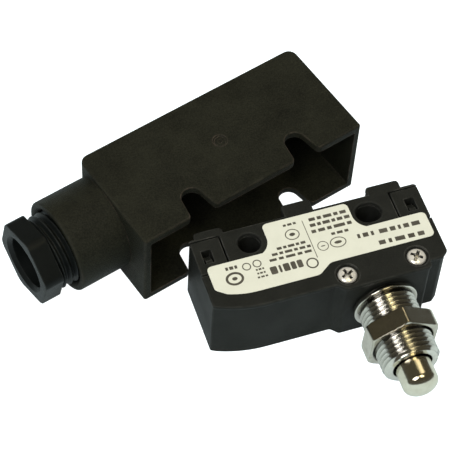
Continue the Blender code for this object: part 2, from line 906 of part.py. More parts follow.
def terminal_screw(name, x):
    under = PLATE_FRONT + PLATE_THICKNESS + CLAMP_THICKNESS + 0.5 * MM
    top = under + SCREW_HEAD_HEIGHT
    screw = turned(
        "terminal_screw_" + name,
        [
            (0, top),
            (1.7 * MM, top - 0.1 * MM),
            (2.3 * MM, top - 0.35 * MM),
            (SCREW_HEAD_RADIUS, top - 0.7 * MM),
            (SCREW_HEAD_RADIUS, under),
            (SCREW_RADIUS, under),
            (SCREW_RADIUS, 3.0 * MM),
            (0, 3.0 * MM),
        ],
        nickel(),
        steps=24,
        place=(x, 0, TERMINAL_Z),
        towards=(0, 1, 0),
    )
    cut(
        screw,
        *cross_recess("cut_terminal_" + name, (x, top, TERMINAL_Z), (0, 1, 0), 1.5 * MM, 0.32 * MM, 0.8 * MM),
    )
    smooth(screw)
    return screw


# ---------------------------------------------------------------- terminal hood


def hood_frame():
    frame = bpy.data.objects.new("hood_frame", None)
    PART.objects.link(frame)
    frame.location = HOOD_CORNER
    frame.rotation_euler = (0, 0, HOOD_TURN)
    return frame


def hood_shell(frame):
    """An open box, u from -length to 0 and v from 0 at its mouth to its depth, with a cable spigot on its end."""
    edge = 2.0 * MM
    plan = [
        (0, 0),
        *arc((-edge, HOOD_DEPTH - edge), edge, 0, 90, 5),
        *arc((-HOOD_LENGTH + edge, HOOD_DEPTH - edge), edge, 90, 180, 5),
        (-HOOD_LENGTH, 0),
    ]
    shell = ride(outline("hood_shell", plan, 0, HOOD_HEIGHT, hood_plastic()), frame)
    bevel(shell, 0.35 * MM)
    end = HOOD_LENGTH + SPIGOT_LENGTH
    root = HOOD_LENGTH - HOOD_END_WALL / 2
    bore = GLAND_THREAD_RADIUS + RUNNING_GAP
    seat = HOOD_LENGTH + 1.0 * MM
    passage = 6.0 * MM
    spigot = ride(
        turned(
            "add_spigot",
            [
                (bore, end),
                (SPIGOT_RADIUS - 1.3 * MM, end),
                (SPIGOT_RADIUS - 0.4 * MM, end - 0.4 * MM),
                (SPIGOT_RADIUS, end - 1.3 * MM),
                (SPIGOT_RADIUS, root),
                (passage, root),
                (passage, seat),
                (bore, seat),
            ],
            shown=False,
            steps=48,
            place=(0, SPIGOT_V, SPIGOT_Z),
            towards=(-1, 0, 0),
        ),
        frame,
    )
    hollow = ride(
        box(
            "cut_hood_hollow",
            (-HOOD_LENGTH + HOOD_END_WALL, -1 * MM, HOOD_WALL),
            (-HOOD_END_WALL, HOOD_DEPTH - HOOD_END_WALL, HOOD_HEIGHT - HOOD_WALL),
            shown=False,
        ),
        frame,
    )
    hole = ride(
        rod(
            "cut_cable_passage",
            (-HOOD_LENGTH - 1 * MM, SPIGOT_V, SPIGOT_Z),
            (-HOOD_LENGTH + HOOD_END_WALL + 1 * MM, SPIGOT_V, SPIGOT_Z),
            passage + 0.8 * MM,
            shown=False,
            sides=36,
            turn=0.03,
        ),
        frame,
    )
    cut(shell, hollow, hole)
    add(shell, spigot)
    for number, u in enumerate(SLOT_CENTRES):
        centre = SLOT_END - SLOT_RADIUS
        plan = [
            (u - SLOT_MOUTH, -1 * MM),
            (u + SLOT_MOUTH, -1 * MM),
            *arc((u, centre), SLOT_RADIUS, 0, 180, 10),
        ]
        slot = ride(outline(f"cut_slot_{number}", plan, -1 * MM, HOOD_HEIGHT + 1 * MM, shown=False), frame)
        cut(shell, slot)
    smooth(shell)
    return shell


def gland_piece(name, profile, finish, frame, steps=36):
    """A turned piece on the gland's axis; heights in the profile are distances along -u."""
    piece = turned(name, profile, finish, steps=steps, place=(0, SPIGOT_V, SPIGOT_Z), towards=(-1, 0, 0))
    smooth(piece)
    return ride(piece, frame)


def gland_nut(frame):
    """A hollow hexagon-headed screw that squeezes the seal onto the cable."""
    nut = ride(
        rod(
            "gland_nut",
            (GLAND_HEX_BACK, SPIGOT_V, SPIGOT_Z),
            (GLAND_HEX_FRONT, SPIGOT_V, SPIGOT_Z),
            GLAND_ACROSS_FLATS / math.sqrt(3),
            hood_plastic(),
            sides=6,
            turn=GLAND_TURN,
        ),
        frame,
    )
    corner = GLAND_ACROSS_FLATS / math.sqrt(3) + 0.1 * MM
    head = -GLAND_HEX_FRONT
    blank = ride(
        turned(
            "keep_gland_head",
            [
                (0, head + 0.01 * MM),
                (GLAND_ACROSS_FLATS / 2 - 0.1 * MM, head + 0.01 * MM),
                (corner, head - 0.7 * MM),
                (corner, -GLAND_HEX_BACK - 1 * MM),
                (0, -GLAND_HEX_BACK - 1 * MM),
            ],
            shown=False,
            steps=48,
            place=(0, SPIGOT_V, SPIGOT_Z),
            towards=(-1, 0, 0),
        ),
        frame,
    )
    thread = ride(
        rod(
            "add_gland_thread",
            (GLAND_HEX_BACK - 1 * MM, SPIGOT_V, SPIGOT_Z),
            (GLAND_THREAD_END, SPIGOT_V, SPIGOT_Z),
            GLAND_THREAD_RADIUS,
            shown=False,
            sides=40,
        ),
        frame,
    )
    hole = ride(
        rod(
            "cut_gland_hole",
            (GLAND_HEX_FRONT - 1 * MM, SPIGOT_V, SPIGOT_Z),
            (GLAND_THREAD_END + 1 * MM, SPIGOT_V, SPIGOT_Z),
            GLAND_HOLE_RADIUS,
            shown=False,
            sides=32,
        ),
        frame,
    )
    keep(nut, blank)
    add(nut, thread)
    cut(nut, hole)
    smooth(nut, angle=20)
    return nut


def gland_ring(name, outer, inner, front, back, finish, frame):
    return gland_piece(name, [(outer, -front), (outer, -back), (inner, -back), (inner, -front)], finish, frame)


# ---------------------------------------------------------------- assembly


def build():
    clear_scene()
    housing_base()
    housing_cover()
    label()
    for name, x in CASING_SCREWS.items():
        casing_screw(name, x)

    threaded_sleeve()
    ring("plunger_seal", 4.85 * MM, PLUNGER_RADIUS + RUNNING_GAP, -30.6 * MM, -29.5 * MM, rubber())
    ring("pin_guide", 4.6 * MM, PIN_RADIUS + RUNNING_GAP, -13.6 * MM, BARREL_BACK + 0.1 * MM, inner_plastic())
    plunger()
    coil_spring()
    push_pin()
    hex_solid(
        "hex_nut",
        NUT_ACROSS_FLATS,
        (HEAD_X, NUT_BACK, HEAD_Z),
        (HEAD_X, NUT_BACK - NUT_THICKNESS, HEAD_Z),
        THREAD_RADIUS + RUNNING_GAP,
        1.0,
        NUT_TURN,
        nickel(),
    )

    snap_blade()
    moving_contact()
    snap_spring()
    nc_face = BLADE_Y - CONTACT_REACH - CONTACT_GAP
    no_face = BLADE_Y + CONTACT_REACH + CONTACT_TRAVEL + CONTACT_GAP
    contact_depth = 0.6 * MM
    fixed_contact("fixed_contact_nc", nc_face, nc_face - contact_depth)
    fixed_contact("fixed_contact_no", no_face, no_face + contact_depth)
    strip_gap = 0.02 * MM
    terminal("nc", TERMINALS["nc"], -12.3 * MM, nc_face - contact_depth - strip_gap - STRIP_THICKNESS)
    terminal("no", TERMINALS["no"], -15.8 * MM, no_face + contact_depth + strip_gap)
    terminal("com", TERMINALS["com"], 16.6 * MM, -9.3 * MM)
    for name, x in TERMINALS.items():
        clamp_plate(name, x)
        terminal_screw(name, x)

    frame = hood_frame()
    hood_shell(frame)
    gland_nut(frame)
    gland_ring("gland_washer", 7.6 * MM, 5.6 * MM, -61.8 * MM, -60.8 * MM, nickel(), frame)
    gland_ring("gland_seal", 7.7 * MM, 4.2 * MM, -60.5 * MM, -54.5 * MM, rubber(), frame)


build()
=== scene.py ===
"""Looks for a plunger limit switch and its loose terminal hood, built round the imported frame.

Every piece is drawn in millimetres, in the frame's own axes or in those of the plunger head, a screw or the
hood, and is scaled to metres as it is added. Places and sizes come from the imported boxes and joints.
"""

import json
import math

import bmesh
import bpy
from mathutils import Matrix, Vector


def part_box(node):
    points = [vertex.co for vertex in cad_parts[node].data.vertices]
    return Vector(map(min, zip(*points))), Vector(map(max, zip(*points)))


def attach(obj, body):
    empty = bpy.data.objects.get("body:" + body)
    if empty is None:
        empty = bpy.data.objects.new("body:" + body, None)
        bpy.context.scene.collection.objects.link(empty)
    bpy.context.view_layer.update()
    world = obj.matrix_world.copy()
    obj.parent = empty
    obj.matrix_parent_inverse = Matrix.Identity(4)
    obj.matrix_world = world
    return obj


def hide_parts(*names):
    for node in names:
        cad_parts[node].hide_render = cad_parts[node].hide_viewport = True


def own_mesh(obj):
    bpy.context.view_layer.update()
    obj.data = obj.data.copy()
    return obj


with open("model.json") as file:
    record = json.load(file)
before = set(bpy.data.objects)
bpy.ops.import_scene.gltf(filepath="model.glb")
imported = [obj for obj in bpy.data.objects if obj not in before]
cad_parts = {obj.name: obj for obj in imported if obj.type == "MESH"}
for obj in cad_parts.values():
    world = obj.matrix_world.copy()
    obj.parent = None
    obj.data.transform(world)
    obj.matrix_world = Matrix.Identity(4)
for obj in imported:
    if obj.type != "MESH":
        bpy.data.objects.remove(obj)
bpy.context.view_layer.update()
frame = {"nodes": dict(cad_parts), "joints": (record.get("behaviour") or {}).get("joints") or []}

MM = 0.001
TO_METRES = Matrix.Diagonal((MM, MM, MM, 1))


# ------------------------ places and sizes, in millimetres


def span(node):
    low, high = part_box(node)
    return low / MM, high / MM


def middle(node):
    low, high = span(node)
    return [(a + b) / 2 for a, b in zip(low, high)]


BASE_LOW, BASE_HIGH = span("housing_base")
COVER_LOW, COVER_HIGH = span("housing_cover")
LABEL_LOW, LABEL_HIGH = span("rating_label")
SLEEVE_LOW, SLEEVE_HIGH = span("threaded_sleeve")
NUT_LOW, NUT_HIGH = span("hex_nut")
PLUNGER_TIP = -span("plunger")[0].y

TOP = COVER_HIGH.z
PARTING = 16.3
SEAM = 0.3
COVER_BOTTOM = PARTING + SEAM
WALL = 1.8
FRONT_OVERHANG = 0.4
END_OVERHANG = 0.1
BASE_BACK = 3.9
BASE_FRONT = -14.15
BOSS_FRONT = BASE_LOW.y
BOSS_LEFT, BOSS_RIGHT = 1.3, 20.3
CROWN_START, CROWN_RADIUS = -13.0, 27.8
HOLES = {"left": -12.7, "right": 12.7}
HOLE_RADIUS = 2.3
HOLE_REACHES = {"left": 0, "right": 0.4}
TONGUES = {"left": (BASE_LOW.x, -18.2), "right": (18.4, BASE_HIGH.x)}
TONGUE_FRONT, TONGUE_BACK = -4.6, 3.2
WINDOWS = {"left": -21.65, "right": 21.6}
WINDOW_WIDTH, WINDOW_FRONT, WINDOW_BACK = 2.0, -2.2, 0.8
BLOCKS = {"left": (-22.9, -16.9, 5.4), "middle": (-3.9, 2.3, 6.7), "right": (14.0, 21.2, 5.9)}
CASING_SCREWS = ("casing_screw_left", "casing_screw_right")
TERMINALS = ("nc", "no", "com")
STRIP_OFFSETS = {"nc": 1.9, "no": -2.4, "com": 1.9}

HEAD = Vector(((SLEEVE_LOW.x + SLEEVE_HIGH.x) / 2, 0, (SLEEVE_LOW.z + SLEEVE_HIGH.z) / 2))
HEAD_BORE = 5.65
SLEEVE_TIP = -SLEEVE_LOW.y
FLANGE_RADIUS = (SLEEVE_HIGH.x - SLEEVE_LOW.x) / 2
THREAD_RADIUS, THREAD_PITCH = 6.0, 1.0
FLANGE_BACK, FLANGE_FRONT = 15.9, 17.0
NUT_ACROSS = 14.0
PLUNGER_RADIUS = 3.7
NOSE_LENGTHENED = 0.85

GLAND = next(j for j in frame["joints"] if j["name"] == "gland_nut_turn")
GLAND_AXIS = Vector(GLAND["axis"])
GLAND_U, GLAND_Z = -68.0, GLAND["pos_m"][2] / MM
HOOD_TURN = math.atan2(GLAND_AXIS.y, GLAND_AXIS.x)
HOOD_HEIGHT = span("hood_shell")[1].z
HOOD_LENGTH, HOOD_DEPTH = 53.2, 24.6
HOOD_WALL, HOOD_END_WALL = 1.75, 1.5
SPIGOT_V, SPIGOT_RADIUS, SPIGOT_LENGTH = 15.0, 10.0, 11.5
SPIGOT_BORE, SPIGOT_STOP = 8.05, 10.4
SLOT_CENTRES = (-39.2, -13.8)
HEX_ACROSS, HEX_BACK, HEX_FRONT = 16.0, 68.2, 72.4
GLAND_HOLE = 5.6
WASHER_BACK, WASHER_FRONT = 60.8, 61.8
SEAL_BACK, SEAL_FRONT = 54.5, 60.5


def along(axis, origin=(0, 0, 0)):
    """A frame whose Z runs along axis, for turned pieces."""
    return Matrix.Translation(origin) @ Vector(axis).to_track_quat("Z", "Y").to_matrix().to_4x4()


def turned(angle):
    return Matrix.Rotation(angle, 4, "Z")


WORLD = Matrix.Identity(4)
HEAD_FRAME = along((0, -1, 0), HEAD)
HOOD_ORIGIN = Vector(GLAND["pos_m"]) / MM - turned(HOOD_TURN) @ Vector((GLAND_U, SPIGOT_V, GLAND_Z))
HOOD_FRAME = Matrix.Translation(HOOD_ORIGIN) @ turned(HOOD_TURN)
SPIGOT_FRAME = along((-1, 0, 0), (0, SPIGOT_V, GLAND_Z))
GLAND_FRAME = HOOD_FRAME @ SPIGOT_FRAME


# ------------------------ outlines, drawn anticlockwise


def arc(centre, radius, start, end, count):
    """Points on a circle, from start to end degrees."""
    angles = [math.radians(start + (end - start) * i / count) for i in range(count + 1)]
    return [(centre[0] + radius * math.cos(a), centre[1] + radius * math.sin(a)) for a in angles]


def ellipse(centre, radius_x, radius_y, steps=32):
    angles = [2 * math.pi * i / steps for i in range(steps)]
    return [(centre[0] + radius_x * math.cos(a), centre[1] + radius_y * math.sin(a)) for a in angles]


def rounded(corners, per_corner=5):
    """Joins (x, y, radius) corners with straight lines and rounds each corner to its radius."""
    points = []
    for i, (x, y, radius) in enumerate(corners):
        here = Vector((x, y))
        if radius <= 0:
            points.append((x, y))
            continue
        back = (Vector(corners[i - 1][:2]) - here).normalized()
        ahead = (Vector(corners[(i + 1) % len(corners)][:2]) - here).normalized()
        half = back.angle(ahead) / 2
        run = radius / math.tan(half)
        centre = here + (back + ahead).normalized() * (radius / math.sin(half))
        first = here + back * run - centre
        last = here + ahead * run - centre
        sweep = first.angle_signed(last)
        for k in range(per_corner + 1):
            points.append(tuple(centre + Matrix.Rotation(-sweep * k / per_corner, 2) @ first))
    return points


def inset(points, distance):
    """The outline moved inwards, corner by corner."""
    if abs(distance) < 1e-9:
        return list(points)
    moved = []
    for i, point in enumerate(points):
        here = Vector(point)
        before = (here - Vector(points[i - 1])).normalized()
        after = (Vector(points[(i + 1) % len(points)]) - here).normalized()
        one = Vector((-before.y, before.x))
        two = Vector((-after.y, after.x))
        moved.append(tuple(here + (one + two) * distance / (1 + one.dot(two))))
    return moved


def rectangle(left, right, front, back, radius=0.0, per_corner=5):
    corners = [(left, front, radius), (right, front, radius), (right, back, radius), (left, back, radius)]
    return rounded(corners, per_corner)


def soft_levels(low, high, low_edge, high_edge, steps=3):
    """(height, inset) pairs that round the lower and upper edges of a prism."""
    angles = [math.pi / 2 * i / steps for i in range(steps + 1)]
    lower = [(low + low_edge * (1 - math.cos(a)), low_edge * (1 - math.sin(a))) for a in angles]
    upper = [(high - high_edge * (1 - math.sin(a)), high_edge * (1 - math.cos(a))) for a in angles]
    return lower + upper


def flared_levels(low, high, low_edge, high_edge):
    """(height, inset) pairs for a cutter that rounds the rims where it meets faces at low and high."""
    rims = [(z, -by) for z, by in soft_levels(low, high, low_edge, high_edge)]
    return [(low - 1, -low_edge), *rims, (high + 1, -high_edge)]


# ------------------------ solids, in millimetres


def new_object(name, data):
    obj = bpy.data.objects.new(name, data)
    bpy.context.scene.collection.objects.link(obj)
    return obj


def solid_object(name, shape):
    mesh = bpy.data.meshes.new(name)
    shape.to_mesh(mesh)
    shape.free()
    return new_object(name, mesh)


def as_object(name, shape):
    """Cleans a closed shape and turns its faces outwards."""
    bmesh.ops.remove_doubles(shape, verts=shape.verts, dist=1e-4)
    bmesh.ops.dissolve_degenerate(shape, edges=shape.edges, dist=1e-5)
    bmesh.ops.triangulate(shape, faces=[f for f in shape.faces if len(f.verts) > 4])
    if shape.calc_volume(signed=True) < 0:
        bmesh.ops.reverse_faces(shape, faces=shape.faces)
    return solid_object(name, shape)


def skin(shape, lower, upper):
    """Joins two loops of vertices with a band of faces."""
    count = len(lower)
    for i in range(count):
        j = (i + 1) % count
        shape.faces.new((lower[i], lower[j], upper[j], upper[i]))


def loft(name, loops, closed=False):
    """Skins a stack of equal loops. A closed stack joins its last loop to its first."""
    shape = bmesh.new()
    rows = [[shape.verts.new(p) for p in loop] for loop in loops]
    for lower, upper in zip(rows, rows[1:]):
        skin(shape, lower, upper)
    if closed:
        skin(shape, rows[-1], rows[0])
    else:
        shape.faces.new(rows[0][::-1])
        shape.faces.new(rows[-1])
    return as_object(name, shape)


def prism(name, outline, levels):
    return loft(name, [[(x, y, z) for x, y in inset(outline, by)] for z, by in levels])


def ring(radius, height, steps):
    return [(x, y, height) for x, y in ellipse((0, 0), radius, radius, steps)]


def lathe(name, profile, steps=64, closed=False):
    """Turns (radius, height) pairs about Z. Ends at radius 0 are closed with a point."""
    return loft(name, [ring(max(r, 1e-5), z, steps) for r, z in profile], closed)


def softened(profile, radius, steps=3, closed=False):
    """Rounds the corners of a (radius, height) profile, except where an open one starts and ends."""
    points = []
    count = len(profile)
    for i, point in enumerate(profile):
        here = Vector(point)
        back = Vector(profile[i - 1]) - here
        ahead = Vector(profile[(i + 1) % count]) - here
        at_end = not closed and i in (0, count - 1)
        no_corner = here.x < 1e-6 or min(back.length, ahead.length) < 1e-9
        if at_end or no_corner or back.angle(ahead) > math.radians(165):
            points.append(point)
            continue
        run = min(radius / math.tan(back.angle(ahead) / 2), back.length * 0.45, ahead.length * 0.45)
        first = here + back.normalized() * run
        last = here + ahead.normalized() * run
        for k in range(steps + 1):
            t = k / steps
            points.append(tuple(first * (1 - t) ** 2 + here * 2 * t * (1 - t) + last * t**2))
    return points


def add(*solids):
    return [("UNION", solid) for solid in solids]


def cut(*solids):
    return [("DIFFERENCE", solid) for solid in solids]


def carve(body, changes):
    """Applies (operation, solid) Booleans in turn and removes the solids used."""
    for operation, solid in changes:
        modifier = body.modifiers.new(solid.name, "BOOLEAN")
        modifier.operation = operation
        modifier.object = solid
        modifier.solver = "MANIFOLD"
        split = body.modifiers.new(solid.name + "_split", "TRIANGULATE")
        split.quad_method = "BEAUTY"
        split.ngon_method = "CLIP"
    graph = bpy.context.evaluated_depsgraph_get()
    mesh = bpy.data.meshes.new_from_object(body.evaluated_get(graph))
    body.modifiers.clear()
    body.data = mesh
    for _, solid in changes:
        bpy.data.objects.remove(solid, do_unlink=True)
    shape = bmesh.new()
    shape.from_mesh(mesh)
    bmesh.ops.triangulate(shape, faces=shape.faces)
    bmesh.ops.dissolve_degenerate(shape, edges=shape.edges, dist=1e-4)
    shape.to_mesh(mesh)
    shape.free()
    return body


def merge(name, objects):
    """Joins finished solids into one object without changing them."""
    shape = bmesh.new()
    for obj in objects:
        shape.from_mesh(obj.data)
        bpy.data.objects.remove(obj, do_unlink=True)
    return solid_object(name, shape)


def place(obj, matrix):
    obj.data.transform(matrix)
    return obj


def shifted(obj, x, y):
    return place(obj, Matrix.Translation((x, y, 0)))


def cross_bar(width, length, top, depth, taper):
    """One arm pair of a cross recess, narrower at its floor."""
    corners = ((-length, -width), (length, -width), (length, width), (-length, width))
    levels = ((top - depth, taper), (top + 0.5, 1.0))
    return loft("arm", [[(x * s, y * s, z) for x, y in corners] for z, s in levels])


def cross_recess(width, length, top, depth, taper):
    return cut(cross_bar(width, length, top, depth, taper), cross_bar(length, width, top, depth, taper))


def thread(name, radius, root, pitch, start, end, entry, steps, core=0.0):
    """An outside thread about Z from start to end, as one closed helical solid.

    entry is how far the crest is turned down over the first and last stretch. core bores it through.
    """
    crest, valley = pitch * 0.12, pitch * 0.14
    flank = (pitch - crest - valley) / 2
    tooth = ((0, root), (valley, root), (valley + flank, radius), (valley + flank + crest, radius))
    turns = math.ceil((end - start) / pitch) + 2
    points = [((k - 1) * pitch + dz, r) for k in range(turns) for dz, r in tooth]

    def limit(height):
        reach = max(min(height - start, end - height), 0)
        return root - 0.02 + reach * (radius - root + 0.02) / entry

    shape = bmesh.new()

    def new_ring(ring_radius, height):
        return [shape.verts.new(p) for p in ring(ring_radius, height, steps)]

    columns = []
    for j in range(steps + 1):
        angle = 2 * math.pi * j / steps
        column = []
        for offset, r in points:
            height = min(max(start + offset + pitch * j / steps, start), end)
            r = min(r, limit(height))
            column.append(shape.verts.new((r * math.cos(angle), r * math.sin(angle), height)))
        columns.append(column)
    for left, right in zip(columns, columns[1:]):
        for m in range(len(points) - 1):
            shape.faces.new((left[m], right[m], right[m + 1], left[m + 1]))
    bore = max(core, 1e-5)
    skin(shape, new_ring(bore, start), new_ring(limit(start), start))
    skin(shape, new_ring(limit(end), end), new_ring(bore, end))
    if core:
        skin(shape, new_ring(core, end), new_ring(core, start))
    return as_object(name, shape)


def hexagon(name, across, low, high, bore, turn, face_radius, chamfer_low, bore_edge, corner=0.12):
    """A bored hexagon about Z. Its corners are turned off in a cone above and, if asked, below.

    turn is the place of a corner in degrees. corner is how far the corners are turned down all round.
    """
    flat, steps, slope = across / 2, 120, math.tan(math.radians(30))
    columns = []
    for i in range(steps):
        angle = 2 * math.pi * i / steps
        sector = (angle - math.radians(turn)) % (math.pi / 3) - math.pi / 6
        edge = min(flat / math.cos(sector), flat / math.cos(math.pi / 6) - corner)
        face = min(face_radius, edge - 0.12)
        drop = max(edge - face_radius, 0) * slope
        low_drop = drop if chamfer_low else 0.0
        low_face = face if chamfer_low else edge - 0.1
        profile = [(bore, low + bore_edge), (bore + bore_edge, low), (low_face - 0.1, low)]
        profile += [(low_face + 0.05, low + 0.06), (edge - 0.03, low + low_drop + 0.02)]
        profile += [(edge, low + low_drop + 0.12), (edge, high - drop - 0.12)]
        profile += [(edge - 0.03, high - drop - 0.02), (face + 0.05, high - 0.06), (face - 0.1, high)]
        profile += [(bore + bore_edge, high), (bore, high - bore_edge)]
        columns.append([(r * math.cos(angle), r * math.sin(angle), z) for r, z in profile])
    return loft(name, list(zip(*columns)), closed=True)


# ------------------------ materials


class Finish:
    """A node material under construction. Sizes in its textures are in millimetres."""

    def __init__(self, name):
        self.material = bpy.data.materials.new(name)
        self.material.use_nodes = True
        self.tree = self.material.node_tree
        where = self.node("ShaderNodeTexCoord").outputs["Object"]
        scale = {0: where, "Scale": 1 / MM}
        self.place = self.node("ShaderNodeVectorMath", scale, operation="SCALE").outputs[0]

    def feed(self, socket, value):
        """Wires a socket to the one given, or sets its value. Colours can leave out their alpha."""
        if isinstance(value, bpy.types.NodeSocket):
            self.tree.links.new(value, socket)
        elif socket.type == "RGBA":
            socket.default_value = (*value, 1)
        else:
            socket.default_value = value

    def node(self, kind, inputs=None, **settings):
        made = self.tree.nodes.new(kind)
        for key, value in settings.items():
            setattr(made, key, value)
        for key, value in (inputs or {}).items():
            self.feed(made.inputs[key], value)
        return made

    def set(self, name, value):
        self.feed(self.tree.nodes["Principled BSDF"].inputs[name], value)

    def noise(self, size, detail=3.0, roughness=0.5, stretch=(1.0, 1.0, 1.0), seed=0.0):
        """Noise with features about size millimetres across, drawn out along an axis by stretch."""
        shift = (seed, seed * 1.7, seed * 0.6)
        mapping = self.node("ShaderNodeMapping", {"Vector": self.place, "Location": shift, "Scale": stretch})
        texture = {"Vector": mapping.outputs[0], "Scale": 1 / size, "Detail": detail, "Roughness": roughness}
        return self.node("ShaderNodeTexNoise", texture).outputs["Fac"]

    def remap(self, source, low, high, new_low=0.0, new_high=1.0):
        ends = {"Value": source, "From Min": low, "From Max": high, "To Min": new_low, "To Max": new_high}
        return self.node("ShaderNodeMapRange", ends).outputs["Result"]

    def math(self, operation, one, two):
        return self.node("ShaderNodeMath", {0: one, 1: two}, operation=operation).outputs[0]

    def blend(self, factor, one, two):
        """Mixes two colours. Inputs 6 and 7 are the node's colour sockets."""
        return self.node("ShaderNodeMix", {"Factor": factor, 6: one, 7: two}, data_type="RGBA").outputs[2]

    def soft_edges(self, radius):
        """The surface's direction, with its edges rounded to radius millimetres."""
        return self.node("ShaderNodeBevel", {"Radius": radius * MM}, samples=4).outputs["Normal"]

    def edges(self, radius):
        """1 on edges, outer and inner, closer than radius millimetres, and 0 on open faces."""
        sides = {0: self.soft_edges(radius), 1: self.node("ShaderNodeNewGeometry").outputs["Normal"]}
        product = self.node("ShaderNodeVectorMath", sides, operation="DOT_PRODUCT")
        return self.remap(product.outputs["Value"], 0.999, 0.9)

    def crevices(self, reach):
        """1 in narrow recesses, 0 where the surface is open for reach millimetres."""
        open_sky = self.node("ShaderNodeAmbientOcclusion", {"Distance": reach * MM}, samples=4)
        return self.remap(open_sky.outputs["AO"], 0.4, 0.85, 1.0, 0.0)

    def bump(self, height, depth, normal=None):
        """Raises the surface by up to depth millimetres where height is 1."""
        inputs = {"Height": height, "Distance": depth * MM, "Strength": 1.0}
        if normal:
            inputs["Normal"] = normal
        return self.node("ShaderNodeBump", inputs).outputs["Normal"]


def moulded(name, dark, light, grain, depth, rough, wear_and_highlight_colour, shine, mottling=6.0):
    """Moulded plastic: spark-eroded grain, cloudy colour, and paler outer edges that are partly scuffs and
    partly a painted highlight.
    """
    finish = Finish(name)
    cloud = finish.remap(finish.noise(mottling, detail=5.0, roughness=0.65), 0.32, 0.7)
    speck = finish.remap(finish.noise(grain * 1.3, roughness=0.7, seed=4.0), 0.36, 0.68)
    tone = finish.math("ADD", finish.math("MULTIPLY", cloud, 0.4), finish.math("MULTIPLY", speck, 0.6))
    # Paler outer edges in patches: partly scuffs, partly a painted highlight where the rounded edges catch
    # the light. Concave edges are left out.
    edge_patches = finish.remap(finish.noise(2.2, seed=9.0), 0.34, 0.6)
    wear_and_highlight_mask = finish.math("MULTIPLY", finish.edges(0.3), edge_patches)
    wear_and_highlight_mask = finish.math("MULTIPLY", wear_and_highlight_mask, finish.math("SUBTRACT", 1.0, finish.crevices(0.6)))
    colour = finish.blend(finish.math("MULTIPLY", wear_and_highlight_mask, 0.8), finish.blend(tone, dark, light), wear_and_highlight_colour)
    finish.set("Base Color", colour)
    pits = finish.remap(finish.noise(grain, roughness=0.6, seed=2.0), 0.3, 0.7)
    smears = finish.noise(9.0, detail=4.0, stretch=(1.0, 0.35, 1.0), seed=6.0)
    smears = finish.remap(smears, 0.3, 0.7, -0.06, 0.07)
    roughness = finish.math("ADD", finish.math("ADD", smears, rough), finish.math("MULTIPLY", pits, 0.08))
    finish.set("Roughness", roughness)
    finish.set("Specular IOR Level", shine)
    finish.set("Normal", finish.bump(pits, depth, finish.soft_edges(0.12)))
    return finish.material


def plated(name, colour, tarnish_and_shade_tint, rough, scratches=(1.0, 0.06, 1.0), edge=0.1, dull=0.5, metallic=1.0):
    """Plated or drawn metal: fine marks, soft tarnished stains, painted shade in its recesses and a
    highlight on each edge.
    """
    finish = Finish(name)
    stain = finish.remap(finish.noise(2.4, detail=5.0, roughness=0.7, seed=1.0), 0.4, 0.72)
    bright = finish.blend(finish.math("MULTIPLY", stain, dull), colour, tarnish_and_shade_tint)
    # Painted shade: recesses are darkened towards a very dark tint of the tarnished colour, standing in for
    # the shade that falls there.
    finish.set("Base Color", finish.blend(finish.crevices(1.0), bright, tuple(0.06 * c for c in tarnish_and_shade_tint)))
    marks = finish.noise(0.16, detail=4.0, roughness=0.7, stretch=scratches, seed=3.0)
    lines = finish.remap(marks, 0.3, 0.75)
    roughness = finish.math("ADD", finish.math("MULTIPLY", lines, 0.08), finish.math("MULTIPLY", stain, 0.1))
    finish.set("Roughness", finish.math("ADD", roughness, rough))
    finish.set("Metallic", metallic)
    finish.set("Normal", finish.bump(lines, 0.004, finish.soft_edges(edge)))
    return finish.material


def film(name, colour, shade):
    """Printed film: nearly flat, with a faint paper-like mottling and a soft sheen."""
    finish = Finish(name)
    tone = finish.remap(finish.noise(3.5, detail=5.0, roughness=0.6), 0.3, 0.72)
    finish.set("Base Color", finish.blend(tone, colour, shade))
    fibre = finish.remap(finish.noise(0.25, seed=5.0), 0.3, 0.7)
    finish.set("Roughness", finish.remap(fibre, 0, 1, 0.42, 0.55))
    finish.set("Normal", finish.bump(fibre, 0.004))
    return finish.material


def rubbery(name, dark, light):
    """Matt rubber with a little dust on it."""
    finish = Finish(name)
    dust = finish.remap(finish.noise(0.9, detail=5.0, roughness=0.7), 0.42, 0.75)
    finish.set("Base Color", finish.blend(dust, dark, light))
    surface = finish.remap(finish.noise(0.12, seed=2.0), 0.3, 0.7)
    finish.set("Roughness", finish.remap(surface, 0, 1, 0.62, 0.85))
    finish.set("Normal", finish.bump(surface, 0.012, finish.soft_edges(0.1)))
    return finish.material


HOUSING = moulded(
    "housing_plastic", (0.008, 0.0088, 0.0078), (0.021, 0.0222, 0.0195), grain=0.18, depth=0.025, rough=0.4,
    wear_and_highlight_colour=(0.11, 0.11, 0.10), shine=0.07,
)
HOOD = moulded(
    "hood_plastic", (0.0045, 0.0049, 0.0034), (0.023, 0.024, 0.0155), grain=0.26, depth=0.05, rough=0.5,
    wear_and_highlight_colour=(0.12, 0.092, 0.075), shine=0.1, mottling=9.0,
)
GLAND_PLASTIC = moulded(
    "gland_plastic", (0.003, 0.004, 0.0037), (0.0065, 0.008, 0.0075), grain=0.14, depth=0.012, rough=0.4,
    wear_and_highlight_colour=(0.035, 0.039, 0.037), shine=0.14,
)
INSULATOR = moulded(
    "inner_plastic", (0.24, 0.21, 0.16), (0.34, 0.31, 0.25), grain=0.2, depth=0.01, rough=0.45,
    wear_and_highlight_colour=(0.5, 0.47, 0.4), shine=0.4, mottling=3.0,
)
EVEN = (1.0, 1.0, 1.0)
NICKEL = plated("nickel", (0.74, 0.71, 0.64), (0.45, 0.40, 0.32), 0.07, dull=0.35)
SCREW_NICKEL = plated("screw_nickel", (0.94, 0.92, 0.85), (0.55, 0.50, 0.42), 0.16, EVEN, 0.08, metallic=0.5)
